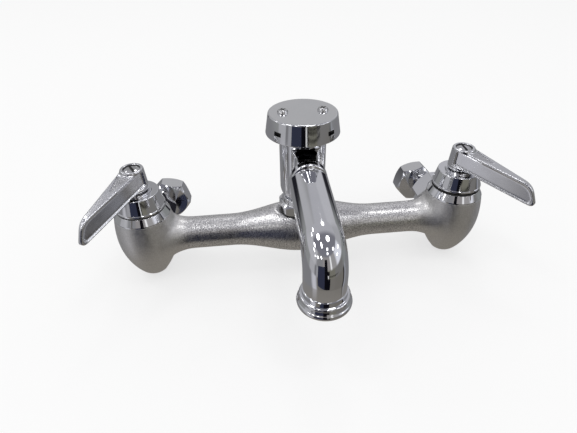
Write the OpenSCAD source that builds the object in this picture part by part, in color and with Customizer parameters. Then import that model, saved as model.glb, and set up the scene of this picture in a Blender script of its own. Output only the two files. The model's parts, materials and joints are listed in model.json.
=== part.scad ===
// Wall-mounted service sink faucet: a cast yoke with two lever valves, a swinging
// spout with a pail hook and a vacuum breaker, and two eccentric inlet arms.
// Origin: midway between the two inlets, on the wall plane. +X runs along the yoke
// to the cold valve, +Y into the wall, +Z up. The yoke axis is at z = 0.

/* [Layout] */
// Distance between the hot and cold valve axes
valve_centres = 203.2; // [195:0.1:215]
// Distance from the wall faces of the inlet arms to the yoke axis
standoff = 51; // [50.5:0.5:66]
// Sideways throw of each eccentric inlet arm
arm_throw = 9.525; // [8:0.025:10.5]
// Direction of the hot lever in plan
hot_angle = 241; // [180:0.5:270]
// Direction of the cold lever in plan
cold_angle = -50; // [-90:0.5:0]

/* [Yoke] */
// Radius of the slim stretches of the bar
bar_r = 10.5; // [9:0.1:11.5]
// Radius of the belly at the middle of the bar
belly_r = 17.5; // [16:0.1:19]
// Half the length over which the belly tapers to the bar
belly_reach = 47; // [40:1:60]
// Radius of the flared bar where it meets each valve bulb
bar_flare_r = 15.5; // [13:0.1:16]
// Radius of the flat seat cut into the belly under the spout nut
seat_cut_r = 16.4; // [16.2:0.1:18]
// Height of that flat seat above the yoke axis
seat_cut_z = 13.5; // [12:0.1:14.5]
// Radius of the water passage along the bar
waterway_r = 5; // [3.5:0.1:6]

/* [Valve bulbs] */
// Largest radius of each bulb
bulb_r = 18.7; // [18.4:0.1:20]
// Height of each bulb's machined top above the yoke axis
bulb_top = 23; // [22:0.1:25]
// Radius of the machined top
bulb_rim_r = 15; // [14:0.1:15.2]
// Radius at the foot of the machined chamfer
bulb_shoulder_r = 17.2; // [16:0.1:17.6]
// Height of the machined chamfer
bulb_chamfer_h = 4; // [2:0.1:5]
// Radius of the round bottom of each bulb
bulb_tip_r = 12; // [10:0.1:14]
// Depth of each bulb below the yoke axis
bulb_depth = 29.4; // [28:0.1:33]

/* [Valves] */
// Radius of the cartridge sleeve
cartridge_r = 10.5; // [10:0.1:10.9]
// Depth of the cartridge seat below the yoke axis
seat_depth = 4; // [3:0.1:5]
// Radius of the valve stem
stem_r = 5; // [4.5:0.1:5.5]
// Radius of the ceramic discs
disc_r = 7.8; // [7.4:0.1:8]
// Thickness of each ceramic disc
disc_t = 3; // [2.5:0.1:3.2]
// Thickness of the rubber ring under each bonnet
bonnet_ring_t = 1; // [0.6:0.1:1.5]
// Radius of each bonnet at its base
bonnet_base_r = 15.2; // [15:0.1:16]
// Radius of each bonnet at its top rim
bonnet_rim_r = 12.8; // [12:0.1:13.2]
// Height of each bonnet
bonnet_h = 10.6; // [10:0.1:11]

/* [Levers] */
// Distance from the valve axis to the end of the lever
lever_reach = 50; // [44:0.1:52]
// Radius of the lever hub at its top
lever_hub_r = 6.9; // [6.6:0.1:8]
// Height of the lever hub
lever_hub_h = 14; // [13.5:0.1:16]
// Fall of the blade's upper edge, in degrees
lever_droop = 12.4; // [8:0.1:14]
// Fall of the blade's lower edge, in degrees
lever_underside = 12.6; // [10:0.1:15]
// Half the thickness of the blade at its tip
blade_tip_w = 1.7; // [1.5:0.1:3]
// Depth of the panels in the blade's sides
panel_depth = 0.8; // [0.2:0.05:1]
// Depth of the index panel in the blade's top
index_depth = 0.45; // [0.2:0.05:0.6]

/* [Spout] */
// Reach of the outlet from the riser axis
spout_reach = 83; // [75:1:110]
// Outer radius of the spout tube
tube_r = 10.95; // [10.5:0.05:12]
// Wall of the spout tube
tube_wall = 2.65; // [2.3:0.05:3]
// Height of the tube's axis above the yoke axis, at the riser
tube_z = 51; // [50.5:0.5:54]
// Fall of the tube, in degrees
tube_slope = 5.5; // [3:0.1:7]
// Radius of the elbow's centre line
elbow_r = 13; // [12:0.5:20]
// Height of the tube's end above the yoke axis
tube_end_z = 23.3; // [21:0.1:25]
// Outer radius of the riser
riser_r = 13.9; // [13.5:0.1:15]
// Distance from the riser axis to the back of the pail hook
hook_y = 23.5; // [22.5:0.5:28]
// Thickness of the pail hook
hook_t = 5; // [3:0.5:6]
// How far the pail hook stands above the tube
hook_rise = 2.3; // [1:0.1:4]

/* [Vacuum breaker] */
// Height of the cap's lower edge above the yoke axis
cap_z = 67.5; // [66.5:0.1:68.5]
// Radius of the cap at its lower edge
cap_base_r = 21.8; // [21.5:0.1:24]
// Radius of the cap at its top
cap_top_r = 20; // [19:0.1:21]
// Height of the cap
cap_h = 12; // [11:0.1:14]
// Wall of the cap
cap_wall = 1.6; // [1.2:0.1:2]
// Distance between the two cap screws
cap_screw_spacing = 23; // [22.4:0.1:23.4]
// Lift of the float
float_travel = 3; // [2:0.1:4]

/* [Nuts and arms] */
// Width across the flats of the spout nut
spout_nut_af = 27.2; // [26.8:0.1:30]
// Width across the flats of each union nut
union_nut_af = 28; // [27.5:0.1:30]
// Width across the flats of each inlet arm's hex
arm_hex_af = 25.4; // [24.5:0.1:30]
// Radius of each inlet's threaded socket
inlet_r = 9.3; // [9:0.1:9.6]
// Depth of each inlet's threaded socket
inlet_depth = 11; // [9:0.5:14]

/* [Fits] */
// Radial clearance of a part that turns or slides
running = 0.05; // [0.02:0.01:0.09]
// Radial clearance of a part that is screwed or set in place
seated = 0.1; // [0.05:0.01:0.2]

/* [Hidden] */
$fn = 96;
// Enough overlap to join or cut cleanly
eps = 0.01;
// A cutter this long passes right through what it cuts
through = 60;

// Valve heights, up the valve axis from the yoke axis
bonnet_z = bulb_top + bonnet_ring_t;
bonnet_top = bonnet_z + bonnet_h;
cartridge_neck_r = 8.5;
cartridge_neck_top = bonnet_top + 1.2;
cartridge_thread_r = cartridge_r + 0.5;
cartridge_hex_r = cartridge_thread_r - 0.1;
lever_z = cartridge_neck_top + 0.7;
seat_seal_t = 3.2;
fixed_disc_z = -seat_depth + seat_seal_t;
turning_disc_z = fixed_disc_z + disc_t;
disc_room_r = disc_r + 0.4;
stem_foot_z = turning_disc_z + disc_t;
stem_foot_t = 2.8;
disc_room_top = stem_foot_z + stem_foot_t + 0.1;
window_h = 5;
gallery_r = cartridge_r + 2;
oring_t = 1.8;
stem_oring_z = 17;
stem_post_r = stem_r - 1;
stem_post_top = lever_z + 8.5;
disc_port_r = 2;
disc_port_pos = 4.4;

// Levers
lever_screw_r = 2.4;
lever_head_r = 4.7;
lever_head_t = 2.6;
lever_head_drop = 0.3;
lever_slot_w = 1.4;
// Directions of the two screws' slots in plan
hot_slot_angle = 119;
cold_slot_angle = -90;
lever_hub_foot_r = lever_hub_r + 0.9;
blade_side_inset = 0.2;
blade_root_w = lever_hub_r - blade_side_inset;
// The blade's lower edge clears the bonnet's rim by this much
blade_clearance = 0.45;
blade_low = bonnet_top - lever_z + blade_clearance;
tip_lean = 67;
tip_curve_r = 11;
tip_heel_r = 2.4;
panel_border = 1.4;
panel_from = -1.4;
// The index panel on top is a long triangle that points down the blade
index_from = lever_hub_r + 1.2;
index_to = 20;
index_w = 4.3;

// Spout nut, yoke neck and riser foot
neck_r = seat_cut_r - 4.4;
neck_h = 6.5;
neck_top = seat_cut_z + neck_h;
spout_nut_z = seat_cut_z + 0.9;
split_ring_t = 1.6;
split_ring_z = neck_top + 0.3;
spout_nut_lip_z = split_ring_z + split_ring_t + 0.3;
spout_nut_top = spout_nut_lip_z + 2.6;
spigot_r = 10;
spigot_bore_r = 7;
spigot_z = 5.5;
spout_oring_z = [spigot_z + 2.5, spigot_z + 8.5];
split_groove = 1.2;
spout_nut_turn = 39;
riser_foot_z = spout_nut_top + 0.4;
hub_well_z = -7;

// The elbow is this much fuller than the straight runs that lap into it
elbow_step = 0.02;
elbow_lap = 0.5;

// The neck that joins the riser to the tube, and the saddle on top of it. Both the saddle's
// top and its flanks are arcs, each from its first angle to its second
tube_bore_r = tube_r - tube_wall;
tube_neck_r = 8;
tube_neck_bore_r = 5.6;
tube_neck_drop = 2.4;
hook_wall = 2.5;
saddle_y = 20;
saddle_z = 59;
saddle_r = 7;
saddle_arc = [-29, -122];
saddle_waist = 5.6;
saddle_flank_r = 8.7;
saddle_flank_arc = [134, 212];

// Vacuum breaker
breaker_floor_z = 38;
breaker_floor_t = 3;
chamber_z = breaker_floor_z + breaker_floor_t;
chamber_r = 8.5;
flange_r = cap_base_r - 4.5;
flange_t = 3;
flange_top = cap_z + 1.5;
gasket_t = 0.6;
seat_t = 2.8;
seat_r = flange_r - 1.8;
seat_hole_r = 5.5;
seat_z = flange_top + gasket_t;
float_seal_t = 2;
float_disc_t = 2.6;
float_seal_z = seat_z - float_travel - float_seal_t;
float_top_z = float_seal_z - float_disc_t;
float_pin_r = 1.8;
floor_hole_r = 2;
floor_hole_pos = 5.2;
cap_screw_r = 1.5;
cap_head_r = 3.15;
cap_head_h = 1.8;
cap_screw_end = flange_top - 7;
cap_post_r = 3;
cap_top = cap_z + cap_h;
vent_w = 4.2;
vent_h = 1.6;
vent_z = cap_z + 4.6;
vent_turn = -3;

// Outlet
outlet_thread_r = tube_r - 1.05;
outlet_thread_h = 4.6;
outlet_washer_t = 0.9;
straightener_t = 2.2;
collar_bead_r = tube_r + 3.05;
collar_lip_r = 9;
collar_lip_t = 2.4;
outlet_seat_z = tube_end_z - outlet_thread_h;
outlet_washer_z = outlet_seat_z - outlet_washer_t;
straightener_z = outlet_washer_z - straightener_t;
collar_bottom = straightener_z - collar_lip_t;

// Union and inlet arm, measured back from the yoke axis
spigot_thread_r = 11.5;
spigot_end = 24;
union_washer_t = 1.5;
arm_flange_t = 2.4;
arm_flange_r = spigot_thread_r - 0.2;
arm_flange_y = spigot_end + union_washer_t;
union_lip_y = arm_flange_y + arm_flange_t + 0.1;
union_lip_t = 4.4;
union_nut_end = union_lip_y + union_lip_t;
union_nut_y = 18;
arm_neck_r = 9.5;
arm_bore_r = 6.5;
arm_shoulder_y = standoff - inlet_depth - 2.5;
arm_hex_y = standoff - inlet_depth;
arm_link_r = 4.8;
union_nut_turn = 50;
arm_hex_turn = 13;
inlet_bore_r = 7;
inlet_bore_end = gallery_r + 3;

// Where the tube turns down
elbow_y = -spout_reach + elbow_r;
elbow_top_y = elbow_y - elbow_r * sin(tube_slope);
elbow_z = tube_z + elbow_top_y * tan(tube_slope) - elbow_r * cos(tube_slope);

function unit(v) = v / norm(v);
function turned(v, a) = [v.x * cos(a) - v.y * sin(a), v.x * sin(a) + v.y * cos(a)];
function arc(centre, r, a, b, n = 8) =
    [for (i = [0 : n]) centre + r * [cos(a + (b - a) * i / n), sin(a + (b - a) * i / n)]];
// The arc that rounds the corner b between a and c
function corner(a, b, c, r, n = 6) =
    let (u = unit(a - b), v = unit(c - b), half = acos(u * v) / 2,
         centre = b + unit(u + v) * r / sin(half),
         from = b + u * r / tan(half) - centre,
         sweep = (180 - 2 * half) * sign(cross(v, u)))
    [for (i = [0 : n]) centre + turned(from, sweep * i / n)];

module at_yoke() {
    translate([0, -standoff, 0]) children();
}

module at_valve(side) {
    translate([side * valve_centres / 2, -standoff, 0]) children();
}

// A hexagonal bar with one corner turned to the given angle
module hex_bar(af, h, turn = 0) {
    rotate([0, 0, turn]) cylinder(r = af / 2 / cos(30), h = h, $fn = 6);
}

// A solid that lies along +Y, drawn upright
module along_y() {
    rotate([-90, 0, 0]) children();
}

// A plain ring
module ring(outer, inner, h) {
    difference() {
        cylinder(r = outer, h = h);
        translate([0, 0, -eps]) cylinder(r = inner, h = h + 2 * eps);
    }
}

// Yoke

function belly(x) = bar_r + (belly_r - bar_r) * (1 + cos(180 * min(x / belly_reach, 1))) / 2;
function flare(x, from, to) =
    (bar_flare_r - bar_r) * pow(max(0, (x - from) / (to - from)), 2);

module bar_solid() {
    end_x = valve_centres / 2 - 11.5;
    flare_x = end_x - 17;
    steps = 40;
    half = [for (i = [0 : steps])
            let (x = end_x * i / steps) [belly(x) + flare(x, flare_x, end_x), x]];
    outline = concat([[0, -end_x]],
                     [for (i = [steps : -1 : 1]) [half[i].x, -half[i].y]],
                     half, [[0, end_x]]);
    rotate([0, 90, 0]) rotate_extrude() polygon(outline);
}

module bulb_solid() {
    shoulder_z = bulb_top - bulb_chamfer_h;
    widest_z = 4;
    tip_z = -bulb_depth + bulb_tip_r;
    // The upper swell passes through the shoulder and stands upright where widest
    swell_r = (pow(bulb_r - bulb_shoulder_r, 2) + pow(shoulder_z - widest_z, 2))
              / (2 * (bulb_r - bulb_shoulder_r));
    swell_a = asin((shoulder_z - widest_z) / swell_r);
    // The lower swell stands upright where widest and runs into the round bottom
    fall = widest_z - tip_z;
    low_r = (bulb_r * bulb_r + fall * fall - bulb_tip_r * bulb_tip_r) / (2 * (bulb_r - bulb_tip_r));
    low_a = atan2(fall, low_r - bulb_r);
    outline = concat(
        [[0, bulb_top], [0, -bulb_depth]],
        arc([0, tip_z], bulb_tip_r, -90, -low_a, 8),
        arc([bulb_r - low_r, widest_z], low_r, -low_a, 0, 10),
        arc([bulb_r - swell_r, widest_z], swell_r, 0, swell_a, 8),
        [[bulb_rim_r, bulb_top]]);
    rotate_extrude() polygon(outline);
}

module valve_cavity() {
    translate([0, 0, -seat_depth]) cylinder(r = cartridge_r + seated, h = bulb_top + seat_depth + eps);
    translate([0, 0, bulb_top - 10]) cylinder(r = cartridge_thread_r + seated, h = 10 + eps);
    translate([0, 0, -1]) cylinder(r = gallery_r, h = stem_foot_z + 4);
    translate([0, 0, -seat_depth - 12]) cylinder(r = 6, h = 12 + eps);
    // Rear inlet, and the slanting passage from it down to the seat
    translate([0, inlet_bore_end, 0]) along_y() cylinder(r = inlet_bore_r, h = through);
    translate([0, inlet_bore_end + 3, -4]) rotate([90 + 33, 0, 0]) cylinder(r = 4, h = 17);
}

module yoke_body() {
    color("silver") difference() {
        union() {
            at_yoke() difference() {
                bar_solid();
                translate([0, 0, seat_cut_z]) cylinder(r = seat_cut_r, h = through);
            }
            at_yoke() cylinder(r = neck_r, h = neck_top);
            for (side = [-1, 1]) at_valve(side) {
                bulb_solid();
                along_y() cylinder(r = spigot_thread_r, h = spigot_end);
                along_y() cylinder(r1 = 17, r2 = 13, h = union_nut_y - 1);
            }
        }
        for (side = [-1, 1]) at_valve(side) valve_cavity();
        at_yoke() rotate([0, 90, 0])
            cylinder(r = waterway_r, h = valve_centres - 2 * cartridge_r, center = true);
        at_yoke() translate([0, 0, hub_well_z])
            cylinder(r = spigot_r + running, h = neck_top - hub_well_z + eps);
    }
}

module spout_nut() {
    color("gainsboro") at_yoke() difference() {
        intersection() {
            translate([0, 0, spout_nut_z])
                hex_bar(spout_nut_af, spout_nut_top - spout_nut_z, spout_nut_turn);
            rotate_extrude() polygon([
                [0, spout_nut_z], [spout_nut_af / 2 + 1.4, spout_nut_z],
                [spout_nut_af / 2 + 2.2, spout_nut_z + 1], [spout_nut_af / 2 + 2.2, spout_nut_z + 4.2],
                [spout_nut_af / 2 - 0.4, spout_nut_z + 6.6], [riser_r - 1.6, spout_nut_top],
                [0, spout_nut_top]]);
        }
        translate([0, 0, spout_nut_z - eps])
            cylinder(r = neck_r + seated, h = spout_nut_lip_z - spout_nut_z + eps);
        translate([0, 0, spout_nut_z]) cylinder(r = spigot_r + 0.15, h = through);
    }
}

// Unions and inlet arms

module union_nut(side) {
    color("gainsboro") at_valve(side) along_y() difference() {
        intersection() {
            translate([0, 0, union_nut_y])
                hex_bar(union_nut_af, union_nut_end - union_nut_y, -side * union_nut_turn);
            rotate_extrude() polygon([
                [0, union_nut_y], [union_nut_af / 2, union_nut_y],
                [union_nut_af / 2 + 2.2, union_nut_y + 1.4],
                [union_nut_af / 2 + 2.2, union_nut_end - 3.6],
                [union_nut_af / 2 + 1.2, union_nut_end - 1.4],
                [union_nut_af / 2 - 0.2, union_nut_end], [0, union_nut_end]]);
        }
        translate([0, 0, union_nut_y - eps])
            cylinder(r = spigot_thread_r + seated, h = union_lip_y - union_nut_y + eps);
        translate([0, 0, union_nut_y]) cylinder(r = arm_neck_r + seated, h = through);
    }
}

module union_washer(side) {
    color("dimgray") at_valve(side) along_y()
        translate([0, 0, spigot_end]) ring(arm_flange_r, inlet_bore_r + 0.3, union_washer_t);
}

module inlet_arm(side) {
    color("gainsboro") at_valve(side) along_y() difference() {
        union() {
            translate([0, 0, arm_flange_y]) cylinder(r = arm_flange_r, h = arm_flange_t);
            translate([0, 0, arm_flange_y]) cylinder(r = arm_neck_r, h = arm_shoulder_y - arm_flange_y);
            // The eccentric shoulder between the neck and the hex
            hull() {
                translate([0, 0, arm_shoulder_y - 1]) cylinder(r = arm_neck_r, h = 1, $fn = 32);
                translate([-side * arm_throw / 2, 0, arm_hex_y]) cylinder(r = arm_neck_r, h = 2, $fn = 32);
            }
            translate([-side * arm_throw, 0, 0]) intersection() {
                translate([0, 0, arm_hex_y - 1])
                    hex_bar(arm_hex_af, standoff - arm_hex_y + 1, -side * arm_hex_turn);
                rotate_extrude() polygon([
                    [0, arm_hex_y - 1], [arm_hex_af / 2 - 2.6, arm_hex_y - 1],
                    [arm_hex_af / 2 - 0.6, arm_hex_y], [arm_hex_af / 2 + 2, arm_hex_y + 2.6],
                    [arm_hex_af / 2 + 2, standoff - 4.4], [arm_hex_af / 2 + 1.1, standoff - 2],
                    [arm_hex_af / 2 - 0.4, standoff], [0, standoff]]);
            }
        }
        translate([0, 0, arm_flange_y - eps]) cylinder(r = arm_bore_r, h = arm_shoulder_y - arm_flange_y);
        translate([-side * arm_throw / 2, 0, arm_shoulder_y - 3]) cylinder(r = arm_link_r, h = 8);
        translate([-side * arm_throw, 0, standoff - inlet_depth]) cylinder(r = inlet_r, h = inlet_depth + eps);
    }
}

// Valve cartridges

module cartridge(side) {
    color("goldenrod") at_valve(side) difference() {
        union() {
            translate([0, 0, -seat_depth]) cylinder(r = cartridge_r, h = bulb_top + seat_depth);
            translate([0, 0, bulb_top - 9]) cylinder(r = cartridge_thread_r, h = 9);
            translate([0, 0, bulb_top]) hex_bar(2 * cartridge_hex_r * cos(30), 5);
            translate([0, 0, bulb_top]) cylinder(r = cartridge_neck_r, h = cartridge_neck_top - bulb_top);
        }
        translate([0, 0, -seat_depth - eps])
            cylinder(r = disc_room_r, h = disc_room_top + seat_depth + eps);
        translate([0, 0, -seat_depth]) cylinder(r = stem_r + running, h = through);
        for (a = [0 : 90 : 270]) rotate([0, 0, a + 45])
            translate([disc_room_r - 1, -2.5, turning_disc_z]) cube([through / 10, 5, window_h]);
    }
}

module seat_seal(side) {
    color("black") at_valve(side) translate([0, 0, -seat_depth]) difference() {
        cylinder(r = disc_r, h = seat_seal_t);
        for (a = [0, 180]) rotate([0, 0, a])
            translate([disc_port_pos, 0, -eps]) cylinder(r = disc_port_r, h = seat_seal_t + 2 * eps);
    }
}

module ported_disc(z) {
    translate([0, 0, z]) difference() {
        cylinder(r = disc_r, h = disc_t);
        for (a = [0, 180]) rotate([0, 0, a])
            translate([disc_port_pos, 0, -eps]) cylinder(r = disc_port_r, h = disc_t + 2 * eps);
    }
}

module fixed_disc(side) {
    color("white") at_valve(side) ported_disc(fixed_disc_z);
}

module turning_disc(side) {
    color("ivory") at_valve(side) ported_disc(turning_disc_z);
}

module bonnet_ring(side) {
    color("black") at_valve(side)
        translate([0, 0, bulb_top]) ring(bulb_rim_r, cartridge_thread_r + 0.2, bonnet_ring_t);
}

module bonnet(side) {
    crown_t = 3;
    skirt_r = cartridge_thread_r + 0.8;
    color("gainsboro") at_valve(side) difference() {
        translate([0, 0, bonnet_z]) rotate_extrude() polygon([
            [0, 0], [bonnet_base_r - 0.4, 0], [bonnet_base_r, 0.4],
            [bonnet_rim_r + 0.1, bonnet_h - 0.4], [bonnet_rim_r - 0.3, bonnet_h], [0, bonnet_h]]);
        translate([0, 0, bonnet_z - eps]) cylinder(r = skirt_r, h = bonnet_h - crown_t);
        translate([0, 0, bonnet_z]) cylinder(r = cartridge_neck_r + seated, h = through);
    }
}

module stem(side) {
    color("darkgoldenrod") at_valve(side) difference() {
        union() {
            translate([0, 0, stem_foot_z]) cylinder(r = disc_r, h = stem_foot_t);
            translate([0, 0, stem_foot_z]) cylinder(r = stem_r, h = lever_z + 0.5 - stem_foot_z);
            translate([0, 0, stem_foot_z]) cylinder(r = stem_post_r, h = stem_post_top - stem_foot_z);
        }
        translate([0, 0, stem_oring_z]) ring(stem_r + 1, stem_r - 1.2, oring_t);
        translate([0, 0, stem_post_top - 9]) cylinder(r = lever_screw_r + 0.05, h = 9 + eps);
    }
}

module stem_oring(side) {
    color("black") at_valve(side)
        translate([0, 0, stem_oring_z + 0.05]) ring(stem_r, stem_r - 1.15, oring_t - 0.1);
}

// Levers, drawn along +X with the foot of the hub at z = 0

// Where the line of the upper edge meets the hub's axis
lever_top_z = lever_hub_h - 0.4;
// Where the leaning end of the blade meets its upper and lower edges
tip_base = [lever_reach - 0.6, -8];
function top_edge(x) = lever_top_z - x * tan(lever_droop);
function low_edge(x) = blade_low + (bonnet_rim_r - x) * tan(lever_underside);
function tip_line_x(z) = tip_base.x - (z - tip_base.y) / tan(tip_lean);
tip_top_x = (tip_base.x + (tip_base.y - lever_top_z) / tan(tip_lean))
            / (1 - tan(lever_droop) / tan(tip_lean));
tip_low_x = (tip_base.x + (tip_base.y - low_edge(0)) / tan(tip_lean))
            / (1 - tan(lever_underside) / tan(tip_lean));

// The blade seen from the side, shrunk by a border
module blade_side(border = 0, from = 0) {
    a = [from, low_edge(from) + border];
    b = [from, top_edge(from) - border];
    c = [tip_top_x - border, top_edge(tip_top_x) - border];
    d = [tip_low_x - border, low_edge(tip_low_x) + border];
    polygon(concat([a, b], corner(b, c, d, tip_curve_r - border, 10), corner(c, d, a, tip_heel_r)));
}

// The blade seen from above, with a round nose that leans like its end
module blade_core(inset = 0) {
    nose_x = tip_base.x * sin(tip_lean) + tip_base.y * cos(tip_lean);
    root_w = blade_root_w - inset;
    tip_w = blade_tip_w - inset;
    rotate([0, tip_lean - 90, 0]) translate([0, 0, -lever_reach]) linear_extrude(2 * lever_reach)
        polygon(concat([[-5, -root_w - 0.4], [nose_x - blade_tip_w, -tip_w]],
                       arc([nose_x - blade_tip_w, 0], tip_w, -80, 80, 10),
                       [[nose_x - blade_tip_w, tip_w], [-5, root_w + 0.4]]));
}

module blade_slab() {
    translate([0, lever_hub_foot_r + 1, 0]) rotate([90, 0, 0])
        linear_extrude(2 * lever_hub_foot_r + 2) children();
}

module lever_solid() {
    hub_bore_top = stem_post_top - lever_z + 0.3;
    head_z = lever_hub_h - lever_head_drop - lever_head_t;
    difference() {
        union() {
            cylinder(r1 = lever_hub_foot_r, r2 = lever_hub_r, h = lever_hub_h - 0.6);
            translate([0, 0, lever_hub_h - 0.6])
                cylinder(r1 = lever_hub_r, r2 = lever_hub_r - 0.5, h = 0.6);
            intersection() {
                blade_slab() blade_side();
                blade_core();
            }
        }
        // A flat panel in each side, from just behind the hub's axis to the tip
        difference() {
            blade_slab() blade_side(panel_border, panel_from);
            blade_core(panel_depth);
        }
        // Index panel on top, between the screw and the blade
        translate([0, 0, top_edge(0)]) rotate([0, lever_droop, 0])
            translate([0, 0, -index_depth]) linear_extrude(1 + index_depth)
                polygon([[index_from, -index_w], [index_to, -0.3], [index_to, 0.3], [index_from, index_w]]);
        translate([0, 0, -eps]) cylinder(r = stem_r + 0.05, h = 0.6);
        translate([0, 0, -eps]) cylinder(r = stem_post_r + 0.05, h = hub_bore_top);
        cylinder(r = lever_screw_r + seated, h = through);
        translate([0, 0, head_z]) cylinder(r = lever_head_r + seated, h = through);
        // The blade's root stays clear of the bonnet
        translate([0, 0, -lever_hub_h]) cylinder(r = bonnet_rim_r, h = lever_hub_h);
    }
}

module lever(side, angle) {
    color("gainsboro") at_valve(side) translate([0, 0, lever_z]) rotate([0, 0, angle]) lever_solid();
}

module lever_screw(side, slot_angle) {
    head_z = lever_z + lever_hub_h - lever_head_drop - lever_head_t;
    color("silver") at_valve(side) rotate([0, 0, slot_angle]) difference() {
        union() {
            translate([0, 0, head_z]) cylinder(r = lever_head_r, h = lever_head_t);
            translate([0, 0, head_z - 7.5]) cylinder(r = lever_screw_r, h = 7.5 + eps);
        }
        translate([-through / 2, -lever_slot_w / 2, head_z + lever_head_t - 1])
            cube([through, lever_slot_w, 2]);
    }
}

// Spout

// Drawn along -Y, down the tube's slope, from the riser axis
module along_tube() {
    translate([0, 0, tube_z]) rotate([90 + tube_slope, 0, 0]) children();
}

module tube_path(r, from) {
    run = -elbow_top_y / cos(tube_slope);
    along_tube() translate([0, 0, from]) cylinder(r = r, h = run - from + elbow_lap);
    translate([0, elbow_y, elbow_z]) rotate([90, 0, -90])
        rotate_extrude(angle = 90 - tube_slope) translate([elbow_r, 0]) circle(r = r + elbow_step);
}

// The waisted saddle between the riser and the pail hook
module hook_saddle() {
    side = arc([-saddle_y, saddle_z + saddle_r], saddle_r, saddle_arc[0], saddle_arc[1], 10);
    waist = arc([saddle_waist + saddle_flank_r, -saddle_y], saddle_flank_r,
                saddle_flank_arc[0], saddle_flank_arc[1], 10);
    intersection() {
        rotate([90, 0, 90]) translate([0, 0, -riser_r]) linear_extrude(2 * riser_r)
            polygon(concat([[0, tube_z - 4], [0, side[0].y]], side, [[-hook_y - 1, tube_z - 4]]));
        linear_extrude(2 * through) polygon(concat(
            [[waist[0].x, 0]], waist, [[waist[10].x, -hook_y - 1], [-waist[10].x, -hook_y - 1]],
            [for (i = [10 : -1 : 0]) [-waist[i].x, waist[i].y]], [[-waist[0].x, 0]]));
    }
}

module spout_solid() {
    // Riser, from the spigot in the yoke up to the breaker's flange
    rotate_extrude() polygon([
        [0, spigot_z], [spigot_r - 0.6, spigot_z], [spigot_r, spigot_z + 0.6],
        [spigot_r, riser_foot_z], [riser_r - 1.8, riser_foot_z], [riser_r - 0.5, riser_foot_z + 2.2],
        [riser_r, riser_foot_z + 4.5], [riser_r, flange_top - flange_t - 2],
        [flange_r, flange_top - flange_t], [flange_r, flange_top], [0, flange_top]]);
    along_tube() translate([0, -tube_neck_drop, 0]) cylinder(r = tube_neck_r, h = hook_y + 1);
    hook_saddle();
    tube_path(tube_r, hook_y);
    translate([0, -spout_reach, tube_end_z]) cylinder(r = tube_r, h = elbow_z - tube_end_z + elbow_lap);
    translate([0, -spout_reach, outlet_seat_z])
        cylinder(r = outlet_thread_r, h = outlet_thread_h + eps);
    // Pail hook: a round lip that stands up from the top of the tube
    along_tube() translate([0, hook_rise, hook_y]) intersection() {
        cylinder(r = tube_r - 0.6, h = hook_t);
        translate([-through / 2, 0, -1]) cube([through, through, hook_t + 2]);
    }
}

module spout_body() {
    color("gainsboro") at_yoke() difference() {
        spout_solid();
        translate([0, 0, spigot_z - eps]) cylinder(r = spigot_bore_r, h = breaker_floor_z - spigot_z);
        for (a = [0 : 60 : 300]) rotate([0, 0, a])
            translate([floor_hole_pos, 0, spigot_z]) cylinder(r = floor_hole_r, h = chamber_z - spigot_z + eps);
        translate([0, 0, spigot_z]) cylinder(r = float_pin_r + running, h = through);
        translate([0, 0, chamber_z]) cylinder(r = chamber_r, h = through);
        along_tube() translate([0, -tube_neck_drop, 0])
            cylinder(r = tube_neck_bore_r, h = hook_y + hook_wall + eps);
        tube_path(tube_bore_r, hook_y + hook_wall);
        translate([0, -spout_reach, outlet_seat_z - eps])
            cylinder(r = tube_bore_r, h = elbow_z - outlet_seat_z + elbow_lap);
        for (z = spout_oring_z) translate([0, 0, z]) ring(spigot_r + 1, spigot_r - 1.3, oring_t);
        translate([0, 0, split_ring_z]) ring(spigot_r + 1, spigot_r - split_groove, split_ring_t + 0.1);
        for (s = [-1, 1]) translate([s * cap_screw_spacing / 2, 0, cap_screw_end - 0.5])
            cylinder(r = cap_screw_r + seated, h = through);
    }
}

module spout_orings() {
    color("black") at_yoke() for (z = spout_oring_z)
        translate([0, 0, z + 0.05]) ring(spigot_r + running - 0.01, spigot_r - 1.25, oring_t - 0.1);
}

module spout_split_ring() {
    color("goldenrod") at_yoke() translate([0, 0, split_ring_z + 0.05]) difference() {
        ring(neck_r - 0.3, spigot_r - split_groove + 0.05, split_ring_t);
        translate([0, -1, -1]) cube([through, 2, split_ring_t + 2]);
    }
}

// Outlet

module at_outlet() {
    translate([0, -standoff - spout_reach, 0]) children();
}

module outlet_collar() {
    color("gainsboro") at_outlet() difference() {
        rotate_extrude() polygon(concat(
            [[0, collar_bottom], [collar_bead_r - 2, collar_bottom]],
            arc([collar_bead_r - 2, collar_bottom + 2], 2, -90, 60, 8),
            arc([collar_bead_r - 2.4, collar_bottom + 6], 1.3, -50, 90, 6),
            [[tube_r + 0.2, tube_end_z], [0, tube_end_z]]));
        translate([0, 0, collar_bottom - eps]) cylinder(r = collar_lip_r, h = through);
        translate([0, 0, straightener_z]) cylinder(r = outlet_thread_r + seated, h = through);
    }
}

module outlet_washer() {
    color("black") at_outlet() translate([0, 0, outlet_washer_z])
        ring(outlet_thread_r, tube_bore_r, outlet_washer_t);
}

module flow_straightener() {
    color("whitesmoke") at_outlet() translate([0, 0, straightener_z]) difference() {
        cylinder(r = outlet_thread_r, h = straightener_t);
        for (row = [1, 2]) for (i = [0 : 6 * row - 1]) rotate([0, 0, i * 60 / row])
            translate([row * 3, 0, -eps]) cylinder(r = 0.95, h = straightener_t + 2 * eps, $fn = 24);
    }
}

// Vacuum breaker

module screw_holes(r) {
    for (s = [-1, 1]) translate([s * cap_screw_spacing / 2, 0, 0]) cylinder(r = r, h = through * 2);
}

module breaker_gasket() {
    color("black") at_yoke() difference() {
        translate([0, 0, flange_top]) ring(seat_r, chamber_r, gasket_t);
        screw_holes(cap_screw_r + 0.2);
    }
}

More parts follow.
